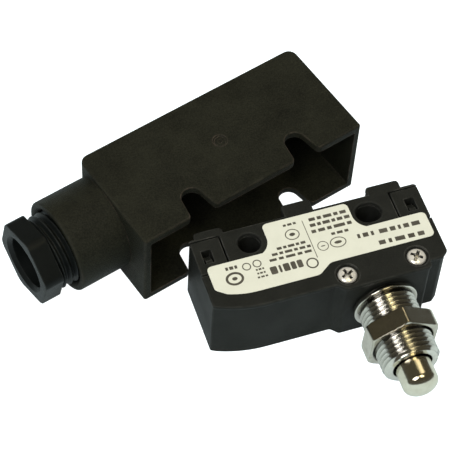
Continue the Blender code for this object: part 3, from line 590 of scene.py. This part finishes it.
NUT_NICKEL = plated("nut_nickel", (0.66, 0.62, 0.53), (0.34, 0.29, 0.21), 0.07, (0.06, 1, 1), 0.22, 0.6)
PLUNGER_NICKEL = plated("plunger_nickel", (0.78, 0.73, 0.6), (0.52, 0.45, 0.31), 0.08, (1, 1, 0.06))
STEEL = plated("steel", (0.6, 0.6, 0.61), (0.36, 0.36, 0.38), 0.22, (0.08, 1, 1), 0.05)
BRASS = plated("brass", (0.78, 0.57, 0.25), (0.45, 0.28, 0.11), 0.2, (1, 1, 0.08), 0.08)
SILVER = plated("silver", (0.86, 0.85, 0.82), (0.45, 0.43, 0.40), 0.24, EVEN, 0.06)
RUBBER = rubbery("rubber", (0.018, 0.018, 0.018), (0.05, 0.05, 0.048))
LABEL = film("label_film", (0.62, 0.637, 0.55), (0.58, 0.595, 0.51))
INK = film("label_ink", (0.04, 0.036, 0.028), (0.08, 0.075, 0.06))


# ------------------------ adding pieces


def finish_mesh(mesh, finish, sharp):
    mesh.materials.clear()
    mesh.materials.append(finish)
    mesh.shade_smooth()
    mesh.set_sharp_from_angle(angle=math.radians(sharp))


def add_piece(obj, finish, body, nodes=(), matrix=WORLD, sharp=32, flats=True):
    """Scales a finished solid to metres, smooths it between sharp edges and hands it to the frame.

    flats keeps flat faces flat right up to their rounded edges.
    """
    obj.data.transform(TO_METRES @ matrix)
    finish_mesh(obj.data, finish, sharp)
    if flats:
        weighted = obj.modifiers.new("flat_faces", "WEIGHTED_NORMAL")
        weighted.keep_sharp = True
    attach(obj, body)
    if nodes:
        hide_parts(*nodes)
    return obj


def finish_node(name, finish):
    """A CAD node that stays gets a detailed material and smooth round faces."""
    node = frame["nodes"][name]
    finish_mesh(node.data, finish, 32)
    return node


# ------------------------ switch housing


def case_outline(grow, grow_ends):
    """The case in plan, crowned at the front left, with a raised boss round the plunger head."""
    left, right = BASE_LOW.x - grow_ends, BASE_HIGH.x + grow_ends
    front, boss, back = BASE_FRONT - grow, BOSS_FRONT - grow, BASE_BACK + grow_ends
    sweep = math.degrees(math.asin((CROWN_START - left - 0.3) / CROWN_RADIUS))
    crown = arc((CROWN_START, front + CROWN_RADIUS), CROWN_RADIUS, 270 - sweep, 270, 12)
    corners = [(left, back, 0.8), (left, crown[0][1] + 0.25, 0.5), *((x, y, 0) for x, y in crown[1:])]
    corners += [(BOSS_LEFT - 0.7, front, 1.0), (BOSS_LEFT + 0.7, boss, 1.0), (BOSS_RIGHT, boss, 0.8)]
    corners += [(BOSS_RIGHT, front + 0.1, 0.4), (right - 1.4, front + 0.1, 0.8), (right, front + 1.3, 0.8)]
    return rounded([*corners, (right, back, 0.8)])


def mounting_holes(low, high, edge):
    """Cutters for the two holes. The right one is drawn out along X."""
    cutters = []
    for side, x in HOLES.items():
        reach = HOLE_REACHES[side]
        right = arc((x + reach, 0), HOLE_RADIUS, -90, 90, 18)
        left = arc((x - reach, 0), HOLE_RADIUS, 90, 270, 18)
        cutters.append(prism("hole", right + left, flared_levels(low, high, 0, edge)))
    return cut(*cutters)


def post(x, y, radius, steps, top):
    """A round post on the floor of the case."""
    outline = arc((x, y), radius, 0, 360 - 360 / steps, steps - 1)
    return add(prism("post", outline, [(WALL / 2, 0), (top, 0)]))


def terminal_wells(name):
    """The slot for a terminal's strip in the back wall, and the well for the end of its screw."""
    x, _, z = middle("terminal_screw_" + name)
    strip = x + STRIP_OFFSETS[name]
    slot = rectangle(strip - 0.6, strip + 0.6, BASE_BACK - WALL - 1, BASE_BACK + 1)
    slot = prism("slot", slot, [(HEAD.z - 3.3, 0), (HEAD.z + 3.3, 0)])
    well = lathe("well", [(0, 1.6), (2.05, 1.6), (2.05, 6), (0, 6)], 32)
    return cut(slot, place(well, along((0, 1, 0), (x, 0, z))))


def switch_base():
    base = prism("switch_base", case_outline(0, 0), soft_levels(0, PARTING, 0.38, 0.15, 4))
    inside = (BASE_LOW.x + WALL, BASE_HIGH.x - WALL, BASE_FRONT + WALL, BASE_BACK - WALL)
    changes = cut(prism("room", rectangle(*inside, 1.0), [(WALL, 0.3), (WALL + 0.3, 0), (PARTING + 1, 0)]))
    for left, right in TONGUES.values():
        slab = rectangle(left, right, TONGUE_FRONT, TONGUE_BACK, 0.3)
        changes += add(prism("tongue", slab, soft_levels(13.6, TOP, 0.1, 0.2)))
    for x in HOLES.values():
        changes += post(x, 0, 3.8, 36, PARTING - 0.03)
    for name in CASING_SCREWS:
        changes += post(*middle(name)[:2], 1.9, 24, PARTING - 0.05)
    changes += mounting_holes(0, TOP + 1, 0.0)
    for x in HOLES.values():
        rim = lathe("rim", [(0, -1), (2.95, -1), (2.95, 0), (2.25, 0.7), (0, 0.7)], 48)
        changes += cut(shifted(rim, x, 0))
    for name in CASING_SCREWS:
        bore = lathe("bore", [(0, 8.5), (1.25, 8.5), (1.25, TOP + 1), (0, TOP + 1)], 24)
        changes += cut(shifted(bore, *middle(name)[:2]))
    mouth, edge = -BOSS_FRONT, 0.3
    profile = [(0, 11), (HEAD_BORE, 11), (HEAD_BORE, mouth - edge), (HEAD_BORE + edge, mouth)]
    profile += [(HEAD_BORE + edge, mouth + 1), (0, mouth + 1)]
    changes += cut(place(lathe("head_bore", profile), HEAD_FRAME))
    for x in WINDOWS.values():
        window = rectangle(x - WINDOW_WIDTH / 2, x + WINDOW_WIDTH / 2, WINDOW_FRONT, WINDOW_BACK, 0.15)
        changes += cut(prism("window", window, flared_levels(12.0, TOP, 0, 0.12)))
    for name in TERMINALS:
        changes += terminal_wells(name)
    add_piece(carve(base, changes), HOUSING, "housing", ["housing_base"])


def latch_teeth():
    """The ramped hooks inside the two windows, which the hood's catches ride over."""
    front, back, top = WINDOW_FRONT - 0.1, WINDOW_BACK - 0.75, TOP - 0.25
    side_view = [(front, 14.0), (back, 14.0), (back, 16.1), (WINDOW_FRONT + 0.7, top), (front, top)]
    teeth = []
    for x in WINDOWS.values():
        levels = soft_levels(x - WINDOW_WIDTH / 2 + 0.3, x + WINDOW_WIDTH / 2 - 0.3, 0.1, 0.1, 2)
        teeth.append(loft("tooth", [[(at, y, z) for y, z in inset(side_view, by)] for at, by in levels]))
    add_piece(merge("latch_teeth", teeth), HOUSING, "housing")


def terminal_roof(left, right, back):
    """A roof over a terminal, with a skirt under it that reaches down behind the case."""
    roof = rounded([(left, 3.0, 0), (right, 3.0, 0), (right, back, 0.8), (left, back, 0.8)])
    left, right, back = left + 0.12, right - 0.12, back - 0.12
    skirt = rounded([(left, 4.2, 0), (right, 4.2, 0), (right, back, 0.7), (left, back, 0.7)])
    return add(
        prism("roof", roof, soft_levels(COVER_BOTTOM - 0.02, TOP - 0.01, 0.1, 0.3, 4)),
        prism("skirt", skirt, soft_levels(COVER_LOW.z, COVER_BOTTOM + 0.4, 0.25, 0.0)),
    )


def switch_cover():
    plan = case_outline(FRONT_OVERHANG, END_OVERHANG)
    cover = prism("switch_cover", plan, soft_levels(COVER_BOTTOM, TOP, 0.12, 0.3, 4))
    plug = rectangle(-17.2, 17.2, -10.1, -4.4, 0.8)
    changes = add(prism("plug", plug, soft_levels(COVER_BOTTOM - 1.2, COVER_BOTTOM + 0.3, 0.3, 0.0)))
    for block in BLOCKS.values():
        changes += terminal_roof(*block)
    for side, (left, right) in TONGUES.items():
        low = left - (2 if side == "left" else SEAM)
        high = right + (SEAM if side == "left" else 2)
        notch = rectangle(low, high, TONGUE_FRONT - SEAM, TONGUE_BACK + 0.21, 0.12)
        changes += cut(prism("notch", notch, flared_levels(COVER_BOTTOM - 2, TOP, 0, 0.12)))
    changes += mounting_holes(COVER_BOTTOM - 3, TOP, 0.35)
    for name in CASING_SCREWS:
        below, ledge = COVER_BOTTOM - 3, COVER_BOTTOM + 0.3
        profile = softened([(0, below), (1.35, below), (1.35, ledge), (2.3, ledge), (2.3, TOP - 0.2)], 0.05)
        seat = lathe("seat", profile + [(2.5, TOP), (2.5, TOP + 1), (0, TOP + 1)], 48)
        changes += cut(shifted(seat, *middle(name)[:2]))
    add_piece(carve(cover, changes), HOUSING, "housing", ["housing_cover"])


# ------------------------ label


def label_outline():
    """The label fills the middle of the cover, curves round both holes and steps back from the screws."""
    left, right, front, back = LABEL_LOW.x, LABEL_HIGH.x, LABEL_LOW.y, LABEL_HIGH.y
    shoulder, step, gap, corner = -3.2, -9.2, 3.6, 1.0
    dip = math.degrees(math.acos(-shoulder / gap))
    return [
        *arc((left + corner, shoulder - corner), corner, 90, 180, 6),
        *arc((left + corner, front + 2.1 + corner), corner, 180, 230, 4),
        *arc((-14.6, front + 18), 18, -110, -90, 8),
        *arc((-2.4, front + 2), 2, -90, -50, 5),
        *arc((1.8, step - 2), 2, 130, 90, 5),
        *arc((right - corner, step + corner), corner, -90, 0, 6),
        *arc((right - corner, shoulder - corner), corner, 0, 90, 6),
        *arc((HOLES["right"], 0), gap, 270 - dip, 180, 12),
        *arc((HOLES["right"] - gap - corner, back - corner), corner, 0, 90, 6),
        *arc((HOLES["left"] + gap + corner, back - corner), corner, 90, 180, 6),
        *arc((HOLES["left"], 0), gap, 0, -90 + dip, 12),
    ]


def rating_label():
    upper_edge = soft_levels(LABEL_LOW.z, LABEL_HIGH.z, 0.0, 0.03, 2)[3:]
    label = prism("rating_label_film", label_outline(), [(LABEL_LOW.z, 0), *upper_edge])
    add_piece(label, LABEL, "housing", ["rating_label"])


def dashes(start, end, height, pattern):
    """A row of short bars between two points, standing for a line of small print.

    pattern gives the shares of bar, gap, bar and so on.
    """
    start, end = Vector(start), Vector(end)
    ahead = (end - start).normalized()
    side = Vector((-ahead.y, ahead.x)) * height / 2
    outlines, at = [], 0.0
    for number, share in enumerate(pattern):
        length = (end - start).length * share / sum(pattern)
        if number % 2 == 0:
            one, two = start + ahead * at, start + ahead * (at + length)
            outlines.append([tuple(one - side), tuple(two - side), tuple(two + side), tuple(one + side)])
        at += length
    return outlines


def label_print():
    """Plain print: rows of dashes, bars, rings and dots where a maker's data would be, with no lettering."""
    long_word, short_word = (3, 1, 2, 1, 4, 1, 2, 1, 3), (2, 1, 3, 1, 2)
    rows = [
        ((-19.3, -4.7), (-16.9, -4.75), 0.75, short_word),
        ((-13.6, -6.6), (-11.9, -6.6), 0.4, short_word),
        ((-13.6, -7.5), (-11.9, -7.5), 0.4, short_word),
        ((-13.8, -8.4), (-11.7, -8.4), 0.4, short_word),
        ((-10.3, -5.35), (-1.5, -5.45), 0.6, long_word),
        ((-9.4, -4.2), (-1.3, -4.3), 0.6, long_word + (1, 2)),
        ((-8.0, -3.1), (-2.0, -3.15), 0.6, long_word),
        ((-5.0, 1.75), (-2.3, 1.75), 0.5, short_word),
        ((0.4, 1.6), (8.3, 1.5), 0.75, long_word),
        ((0.2, 0.2), (8.6, 0.15), 0.75, long_word + (1, 3)),
        ((0.0, -1.3), (8.5, -1.35), 0.75, (2, 1, 3, 1, 2, 1, 5, 1, 2)),
        ((3.6, -2.9), (7.2, -2.95), 0.6, short_word),
        ((8.4, -5.0), (21.6, -5.4), 1.0, (1, 1, 2, 1, 1, 2, 3, 1, 2, 1, 1, 1, 2, 1, 3)),
        ((12.0, -7.7), (21.6, -8.0), 1.0, (2, 1, 1, 1, 3, 1, 2, 1, 2)),
    ]
    outlines = [outline for row in rows for outline in dashes(*row)]
    for left, right in ((-10.9, -9.5), (-9.1, -8.6), (-8.2, -6.9), (-6.6, -5.6), (-5.3, -4.2)):
        outlines.append(rectangle(left, right, -8.6, -6.8, 0.25, per_corner=2))
    outlines.append(rectangle(-1.02, -0.88, -7.4, 1.9, 0.05, per_corner=2))
    rings = [
        ((-18.2, -7.3), 1.85, 1.55, 0.5),
        ((-15.1, -5.3), 0.9, 0.9, 0.22),
        ((-12.9, -5.2), 0.9, 0.9, 0.22),
        ((-3.9, -0.7), 1.5, 1.3, 0.2),
        ((1.05, -5.1), 1.15, 1.15, 0.16),
        ((4.25, -5.1), 1.7, 1.25, 0.2),
        ((-2.35, -8.3), 1.25, 1.25, 0.3),
    ]
    dots = [((-18.2, -7.3), 0.55, 0.4), ((-3.9, -0.7), 0.6, 0.4), ((1.05, -5.1), 0.5, 0.12)]
    dots.append(((4.25, -5.1), 0.8, 0.35))
    outlines += [ellipse(*dot, 16) for dot in dots]

    low, high = LABEL_HIGH.z - 0.01, LABEL_HIGH.z + 0.012
    solids = [prism("ink", outline, [(low, 0), (high, 0)]) for outline in outlines]
    for centre, radius_x, radius_y, width in rings:
        outer = ellipse(centre, radius_x, radius_y)
        inner = ellipse(centre, radius_x - width, radius_y - width)
        stack = ((outer, low), (outer, high), (inner, high), (inner, low))
        solids.append(loft("ink", [[(x, y, z) for x, y in points] for points, z in stack], closed=True))
    add_piece(merge("label_print", solids), INK, "housing")


# ------------------------ casing screws


def casing_screw(name, turn):
    """A pan-headed cross-recess screw with a tapered recess."""
    low, high = span(name)
    top, under = high.z, COVER_BOTTOM + 0.35
    head = (high.x - low.x) / 2
    rise = head * 0.42
    dome = [(head * math.sin(a / 4), top - rise * (1 - math.cos(a / 4))) for a in range(6)]
    shank = softened([(head, top - rise), (head, under), (1.15, under), (1.15, low.z + 0.6)], 0.08)
    profile = dome + shank + [(0.5, low.z), (0, low.z)]
    screw = lathe(name + "_body", profile[::-1], 48)
    cone = lathe("cone", [(0, top - 1.3), (0.6, top - 0.4), (0.8, top + 0.5), (0, top + 0.5)], 24)
    screw = carve(screw, cross_recess(0.36, 1.5, top, 1.0, 0.72) + cut(cone))
    x, y, _ = middle(name)
    matrix = Matrix.Translation((x, y, 0)) @ turned(turn)
    add_piece(screw, SCREW_NICKEL, "housing", [name], matrix)


# ------------------------ plunger head


def threaded_sleeve():
    """The M12 x 1 sleeve: a flange, and a screw thread from it to the tip, bored for the plunger."""
    root, guide, collar, tail = THREAD_RADIUS - 0.66, 4.75, 5.5, 12.0
    screw = thread("screw", THREAD_RADIUS, root, THREAD_PITCH, FLANGE_FRONT, SLEEVE_TIP, 0.6, 96, core=4.15)
    profile = [(guide, FLANGE_FRONT - 0.01), (guide, tail), (collar, tail), (collar, FLANGE_BACK)]
    profile += [(FLANGE_RADIUS, FLANGE_BACK), (FLANGE_RADIUS, FLANGE_FRONT), (root - 0.1, FLANGE_FRONT)]
    profile += [(root - 0.1, FLANGE_FRONT + 0.3), (guide, FLANGE_FRONT + 0.3)]
    flange = lathe("flange", softened(profile, 0.22, 4, closed=True), 96, closed=True)
    sleeve = merge("sleeve_body", [screw, flange])
    add_piece(sleeve, NICKEL, "housing", ["threaded_sleeve"], HEAD_FRAME, sharp=70, flats=False)


def mounting_nut():
    low, high, flat = -NUT_HIGH.y, -NUT_LOW.y, NUT_ACROSS / 2
    nut = hexagon("mounting_nut", NUT_ACROSS, low, high, THREAD_RADIUS + 0.1, 88, flat + 0.6, True, 0.35)
    add_piece(nut, NUT_NICKEL, "nut", ["hex_nut"], HEAD_FRAME, sharp=24)


def plunger():
    """The hollow plunger: a domed nose, and the shoulder that stops it inside the sleeve."""
    shoulder, shoulder_front, shoulder_back = 4.6, 28.2, 26.6
    bore, bore_end, dome_depth = 2.8, 34.2, 2.3
    tip = NOSE_LENGTHENED + PLUNGER_TIP
    angles = [math.pi * i / 28 for i in range(15)]
    dome = [(PLUNGER_RADIUS * math.sin(a), tip - dome_depth * (1 - math.cos(a))) for a in angles]
    rest = [(PLUNGER_RADIUS, shoulder_front), (shoulder, shoulder_front), (shoulder, shoulder_back)]
    rest += [(bore, shoulder_back), (bore, bore_end), (0, bore_end)]
    body = lathe("plunger_rod", (dome + softened(rest, 0.12))[::-1], 80)
    add_piece(body, PLUNGER_NICKEL, "plunger", ["plunger"], HEAD_FRAME, sharp=28)


def reach_of(node):
    """A head piece's back and front, along the head's axis."""
    low, high = span(node)
    return -high.y, -low.y


def plunger_seal():
    """A wiper ring with a thin lip against the plunger."""
    back, front = reach_of("plunger_seal")
    profile = [(4.85, back), (4.85, front), (4.3, front), (4.15, front - 0.35), (3.78, front + 0.05)]
    seal = lathe("wiper_ring", softened([*profile, (3.85, back)], 0.08, closed=True), closed=True)
    add_piece(seal, RUBBER, "housing", ["plunger_seal"], HEAD_FRAME)


def push_pin():
    back, front = reach_of("push_pin")
    profile = [(0, back), (0.6, back), (1.0, back + 0.4), (1.0, front - 1.0), (2.6, front - 1.0)]
    pin = lathe("pin_body", softened([*profile, (2.6, front), (0, front)], 0.15), 40)
    add_piece(pin, INSULATOR, "pin", ["push_pin"], HEAD_FRAME)


def pin_guide():
    back, front = reach_of("pin_guide")
    profile = [(1.15, back), (3.9, back), (4.6, back + 0.5), (4.6, front), (2.9, front), (2.5, front - 0.4)]
    guide = softened([*profile, (1.15, front - 0.4)], 0.1, closed=True)
    guide = lathe("pin_bearing", guide, 56, closed=True)
    add_piece(guide, INSULATOR, "housing", ["pin_guide"], HEAD_FRAME)


def spring():
    """The overtravel spring, squashed by the plunger."""
    low, high = span("overtravel_spring")
    wire, radius, turns, per_turn = 0.3, 2.2, 9, 28
    length = high.y - low.y - 2 * wire
    count = turns * per_turn
    loops = []
    for i in range(count + 1):
        angle = 2 * math.pi * i / per_turn
        out, up = Vector((math.cos(angle), math.sin(angle), 0)), Vector((0, 0, 1))
        centre = out * radius + up * (wire + length * i / count - high.y)
        loops.append([tuple(centre + out * x + up * y) for x, y in ellipse((0, 0), wire, wire, 8)])
    coil = loft("spring_coil", loops)
    coil = add_piece(coil, STEEL, "pin", ["overtravel_spring"], HEAD_FRAME)
    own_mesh(coil)


# ------------------------ snap mechanism and terminals


def terminal(name):
    """The brass terminal stays as the CAD has it, with its edges broken."""
    bevel = finish_node("terminal_" + name, BRASS).modifiers.new("broken_edges", "BEVEL")
    bevel.width = 0.08 * MM
    bevel.segments = 2
    bevel.limit_method = "ANGLE"


def clamp_plate(name):
    """The square clamp plate, with gripping grooves on both sides of its hole."""
    low, high = span("clamp_plate_" + name)
    x, _, z = middle("terminal_screw_" + name)
    half, thick, groove = (high.x - low.x) / 2, high.y - low.y, 0.02
    square = rectangle(-half, half, -half, half, 0.7)
    plate = prism("clamp_" + name, square, soft_levels(0, thick, 0.1, 0.15))
    cuts = cut(lathe("bore", [(0, -1), (1.7, -1), (1.7, thick + 1), (0, thick + 1)], 32))
    for middle_x in (-2.3, 2.3):
        for row in (-1.9, -0.65, 0.65, 1.9):
            outline = rectangle(middle_x - 0.35, middle_x + 0.35, row - 0.12, row + 0.12, groove)
            cuts += cut(prism("groove", outline, soft_levels(-0.5, 0.14, groove, groove, 2)))
    matrix = along((0, 1, 0), (x, low.y, z))
    add_piece(carve(plate, cuts), STEEL, "clamp_" + name, ["clamp_plate_" + name], matrix)


def wire_screw(name, turn):
    """A terminal screw with a domed head, a cross recess and a slot."""
    low, high = span("terminal_screw_" + name)
    x, _, z = middle("terminal_screw_" + name)
    under, top = span("clamp_plate_" + name)[1].y + 0.2, high.y
    head = (high.x - low.x) / 2
    shank = thread("shank", 1.45, 1.18, 0.5, low.y, under + 0.1, 0.25, 40)
    dome = [(0, top), (head * 0.55, top - 0.05), (head * 0.85, top - 0.3), (head, top - 0.65)]
    body = lathe("head", softened([*dome, (head, under), (0, under)], 0.12)[::-1], 48)
    slot = cross_bar(0.3, head + 1, top, 0.45, 1.0)
    body = carve(body, cross_recess(0.26, 1.5, top, 0.75, 0.75) + cut(slot))
    screw = merge("wire_screw_" + name, [body, shank])
    matrix = along((0, 1, 0), (x, 0, z)) @ turned(turn)
    add_piece(screw, SCREW_NICKEL, "screw_" + name, ["terminal_screw_" + name], matrix)


def inner_works():
    for name in ("snap_blade", "snap_spring"):
        finish_node(name, STEEL)
    for name in ("moving_contact", "fixed_contact_nc", "fixed_contact_no"):
        finish_node(name, SILVER)


# ------------------------ terminal hood


def slot_outline(centre):
    """A hood slot in plan: a round end, straight sides and rounded corners at the mouth."""
    end, radius, mouth, lip = 6.3, 2.25, 2.75, 1.1
    lead_in = arc((centre + mouth + lip, lip), lip, -78, -172, 6)
    right = [(lead_in[0][0], -1.0), *lead_in]
    left = [(2 * centre - x, y) for x, y in right[::-1]]
    return right + arc((centre, end - radius), radius, 4, 176, 18) + left


def spigot():
    """The cable spigot, stepped inside where the seal stops."""
    end, root = HOOD_LENGTH + SPIGOT_LENGTH, HOOD_LENGTH - 0.7
    stop = end - SPIGOT_STOP
    profile = [(8.75, end), (SPIGOT_RADIUS, end), (SPIGOT_RADIUS, root), (7.0, root), (7.0, stop)]
    profile += [(SPIGOT_BORE, stop), (SPIGOT_BORE, end - 0.7)]
    return place(lathe("spigot", softened(profile, 0.9, 5, closed=True), 96, closed=True), SPIGOT_FRAME)


def gate_mark():
    """The dimple that the mould's gate left: a shallow dish with a pip and a small pit."""
    profile = [(0, -0.38), (0.35, -0.36), (0.5, -0.16), (0.75, -0.18), (1.2, -0.3), (1.6, 0.05), (0, 0.5)]
    return shifted(lathe("gate", [(r, HOOD_HEIGHT + z) for r, z in profile], 32), -26.6, 12.6)


def hood_shell():
    """An open box with a cable spigot on its end. u runs from -length to 0 and v from 0 at the mouth."""
    plan = [(-HOOD_LENGTH, 0, 0.55), (0, 0, 0.55), (0, HOOD_DEPTH, 2.0), (-HOOD_LENGTH, HOOD_DEPTH, 2.0)]
    shell = prism("hood_box", rounded(plan, 6), soft_levels(0, HOOD_HEIGHT, 0.45, 0.45, 4))
    left, right, back = -HOOD_LENGTH + HOOD_END_WALL, -HOOD_END_WALL, HOOD_DEPTH - HOOD_END_WALL
    inner_plan = rounded([(left, -1, 0), (right, -1, 0), (right, back, 0.8), (left, back, 0.8)])
    hollow = prism("hollow", inner_plan, soft_levels(HOOD_WALL, HOOD_HEIGHT - HOOD_WALL, 0.3, 0.3))
    near, far = HOOD_LENGTH - 3, HOOD_LENGTH + 2
    passage = lathe("passage", [(0, near), (7.4, near), (7.4, far), (0, far)], 60)
    passage = place(passage, SPIGOT_FRAME @ turned(0.02))
    changes = cut(hollow, passage) + add(spigot())
    for outline in map(slot_outline, SLOT_CENTRES):
        changes += cut(
            prism("slot", outline, flared_levels(HOOD_HEIGHT - HOOD_WALL, HOOD_HEIGHT, 0.15, 0.2)),
            prism("slot", outline, flared_levels(0, HOOD_WALL, 0.2, 0.15)),
        )
    shell = carve(shell, changes + cut(gate_mark()))
    add_piece(shell, HOOD, "hood", ["hood_shell"], HOOD_FRAME, sharp=36)


def gland_nut():
    """The hollow cable screw: a moulded hexagon with a rounded mouth on a coarse thread."""
    head = hexagon("head", HEX_ACROSS, HEX_BACK, HEX_FRONT, GLAND_HOLE, 136, 8.8, False, 0.8, corner=0.3)
    screw = thread("screw", 7.9, 7.1, 1.5, WASHER_FRONT + 0.2, HEX_BACK + 0.2, 0.7, 96, core=GLAND_HOLE)
    nut = merge("gland_screw", [head, screw])
    add_piece(nut, GLAND_PLASTIC, "gland_nut", ["gland_nut"], GLAND_FRAME, sharp=26)


def gland_washer():
    profile = rectangle(GLAND_HOLE, 7.6, WASHER_BACK, WASHER_FRONT)
    washer = lathe("pressure_washer", softened(profile, 0.2, closed=True), 72, closed=True)
    add_piece(washer, SCREW_NICKEL, "gland_washer", ["gland_washer"], GLAND_FRAME)


def gland_seal():
    """A barrel-shaped rubber bush with a countersunk mouth and two grooves."""
    inner, outer = 4.2, 7.7
    profile = [(inner, SEAL_BACK), (outer - 0.5, SEAL_BACK), (outer, SEAL_BACK + 0.7)]
    for groove in (56.9, 58.7):
        profile += [(outer, groove - 0.3), (outer - 0.35, groove), (outer, groove + 0.3)]
    profile += [(outer, SEAL_FRONT - 0.3), (outer - 0.3, SEAL_FRONT), (inner + 1.1, SEAL_FRONT)]
    profile.append((inner, SEAL_FRONT - 1.1))
    seal = lathe("cable_bush", softened(profile, 0.2, closed=True), 72, closed=True)
    piece = add_piece(seal, RUBBER, "hood", ["gland_seal"], GLAND_FRAME)
    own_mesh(piece)


# ------------------------ stage


def camera():
    """The view of the photograph: from the front left and above, through a long lens."""
    data = bpy.data.cameras.new("camera")
    data.sensor_width = 36.0
    data.lens = 154.57
    data.clip_start = 0.01
    data.clip_end = 20.0
    obj = new_object("camera", data)
    obj.location = Vector((-96.527, -197.808, 335.460)) * MM
    obj.rotation_euler = [math.radians(a) for a in (34.45775, -2.12990, -18.51784)]
    bpy.context.scene.camera = obj


LAMP_TARGET = Vector((HEAD.x, -25, HEAD.z)) * MM
LAMP_DISTANCE = 0.7


def area_light(name, direction, size, power, colour):
    """A lamp that faces the middle of the threaded sleeve."""
    data = bpy.data.lights.new(name, "AREA")
    data.shape = "RECTANGLE"
    data.size, data.size_y = size
    data.energy = power
    data.color = colour
    obj = new_object(name, data)
    towards = Vector(direction).normalized()
    obj.location = LAMP_TARGET + towards * LAMP_DISTANCE
    obj.rotation_mode = "QUATERNION"
    obj.rotation_quaternion = towards.to_track_quat("Z", "Y")


def floor():
    """Pale paper. It is seen as plain white, and it lights and mirrors in the object more softly."""
    mesh = bpy.data.meshes.new("floor")
    mesh.from_pydata([(-3, -3, 0), (3, -3, 0), (3, 3, 0), (-3, 3, 0)], [], [(0, 1, 2, 3)])
    obj = new_object("floor", mesh)
    obj.location.z = -0.02 * MM
    paper = Finish("floor_paper")
    paper.set("Base Color", (0.35, 0.46, 0.50))
    paper.set("Roughness", 0.9)
    paper.set("Specular IOR Level", 0.1)
    rays = paper.node("ShaderNodeLightPath").outputs
    glow = paper.math("ADD", paper.math("MULTIPLY", rays["Is Glossy Ray"], 0.22), 0.05)
    paper.set("Emission Strength", paper.math("ADD", glow, rays["Is Camera Ray"]))
    paper.set("Emission Color", (1.0, 1.0, 1.0))
    mesh.materials.append(paper.material)


def sky():
    """Soft white light for surfaces, and a dim warm room for reflections to pick up."""
    world = bpy.data.worlds.new("studio")
    world.use_nodes = True
    tree = world.node_tree
    tree.nodes.clear()
    new, link = tree.nodes.new, tree.links.new
    soft = new("ShaderNodeBackground")
    soft.inputs["Color"].default_value = (1.0, 0.99, 0.97, 1)
    soft.inputs["Strength"].default_value = 0.8
    room = new("ShaderNodeBackground")
    ramp = new("ShaderNodeValToRGB")
    ramp.color_ramp.elements[0].color = (0.08, 0.08, 0.07, 1)
    ramp.color_ramp.elements[1].position = 0.55
    ramp.color_ramp.elements[1].color = (0.062, 0.056, 0.036, 1)
    split = new("ShaderNodeSeparateXYZ")
    mix = new("ShaderNodeMixShader")
    link(new("ShaderNodeTexCoord").outputs["Generated"], split.inputs[0])
    link(split.outputs["Z"], ramp.inputs["Fac"])
    link(ramp.outputs["Color"], room.inputs["Color"])
    link(new("ShaderNodeLightPath").outputs["Is Glossy Ray"], mix.inputs["Fac"])
    link(soft.outputs[0], mix.inputs[1])
    link(room.outputs[0], mix.inputs[2])
    link(mix.outputs[0], new("ShaderNodeOutputWorld").inputs["Surface"])
    bpy.context.scene.world = world


def studio():
    camera()
    floor()
    sky()
    area_light("key", (-0.53, -0.3, 0.79), (0.32, 0.34), 2.3, (1.0, 0.99, 0.97))
    area_light("warm", (0.11, -0.3, 0.946), (0.2, 0.34), 0.85, (1.0, 0.88, 0.52))
    area_light("back", (0.29, 0.53, 0.8), (0.32, 0.3), 0.42, (1.0, 0.86, 0.55))
    bpy.context.scene.view_settings.view_transform = "Standard"


switch_base()
latch_teeth()
switch_cover()
rating_label()
label_print()
for screw_name, screw_turn in zip(CASING_SCREWS, (0.35, 0.9)):
    casing_screw(screw_name, screw_turn)
threaded_sleeve()
mounting_nut()
plunger()
plunger_seal()
push_pin()
pin_guide()
spring()
for terminal_name, screw_turn in zip(TERMINALS, (0.4, 1.3, 2.2)):
    terminal(terminal_name)
    clamp_plate(terminal_name)
    wire_screw(terminal_name, screw_turn)
inner_works()
hood_shell()
gland_nut()
gland_washer()
gland_seal()
studio()
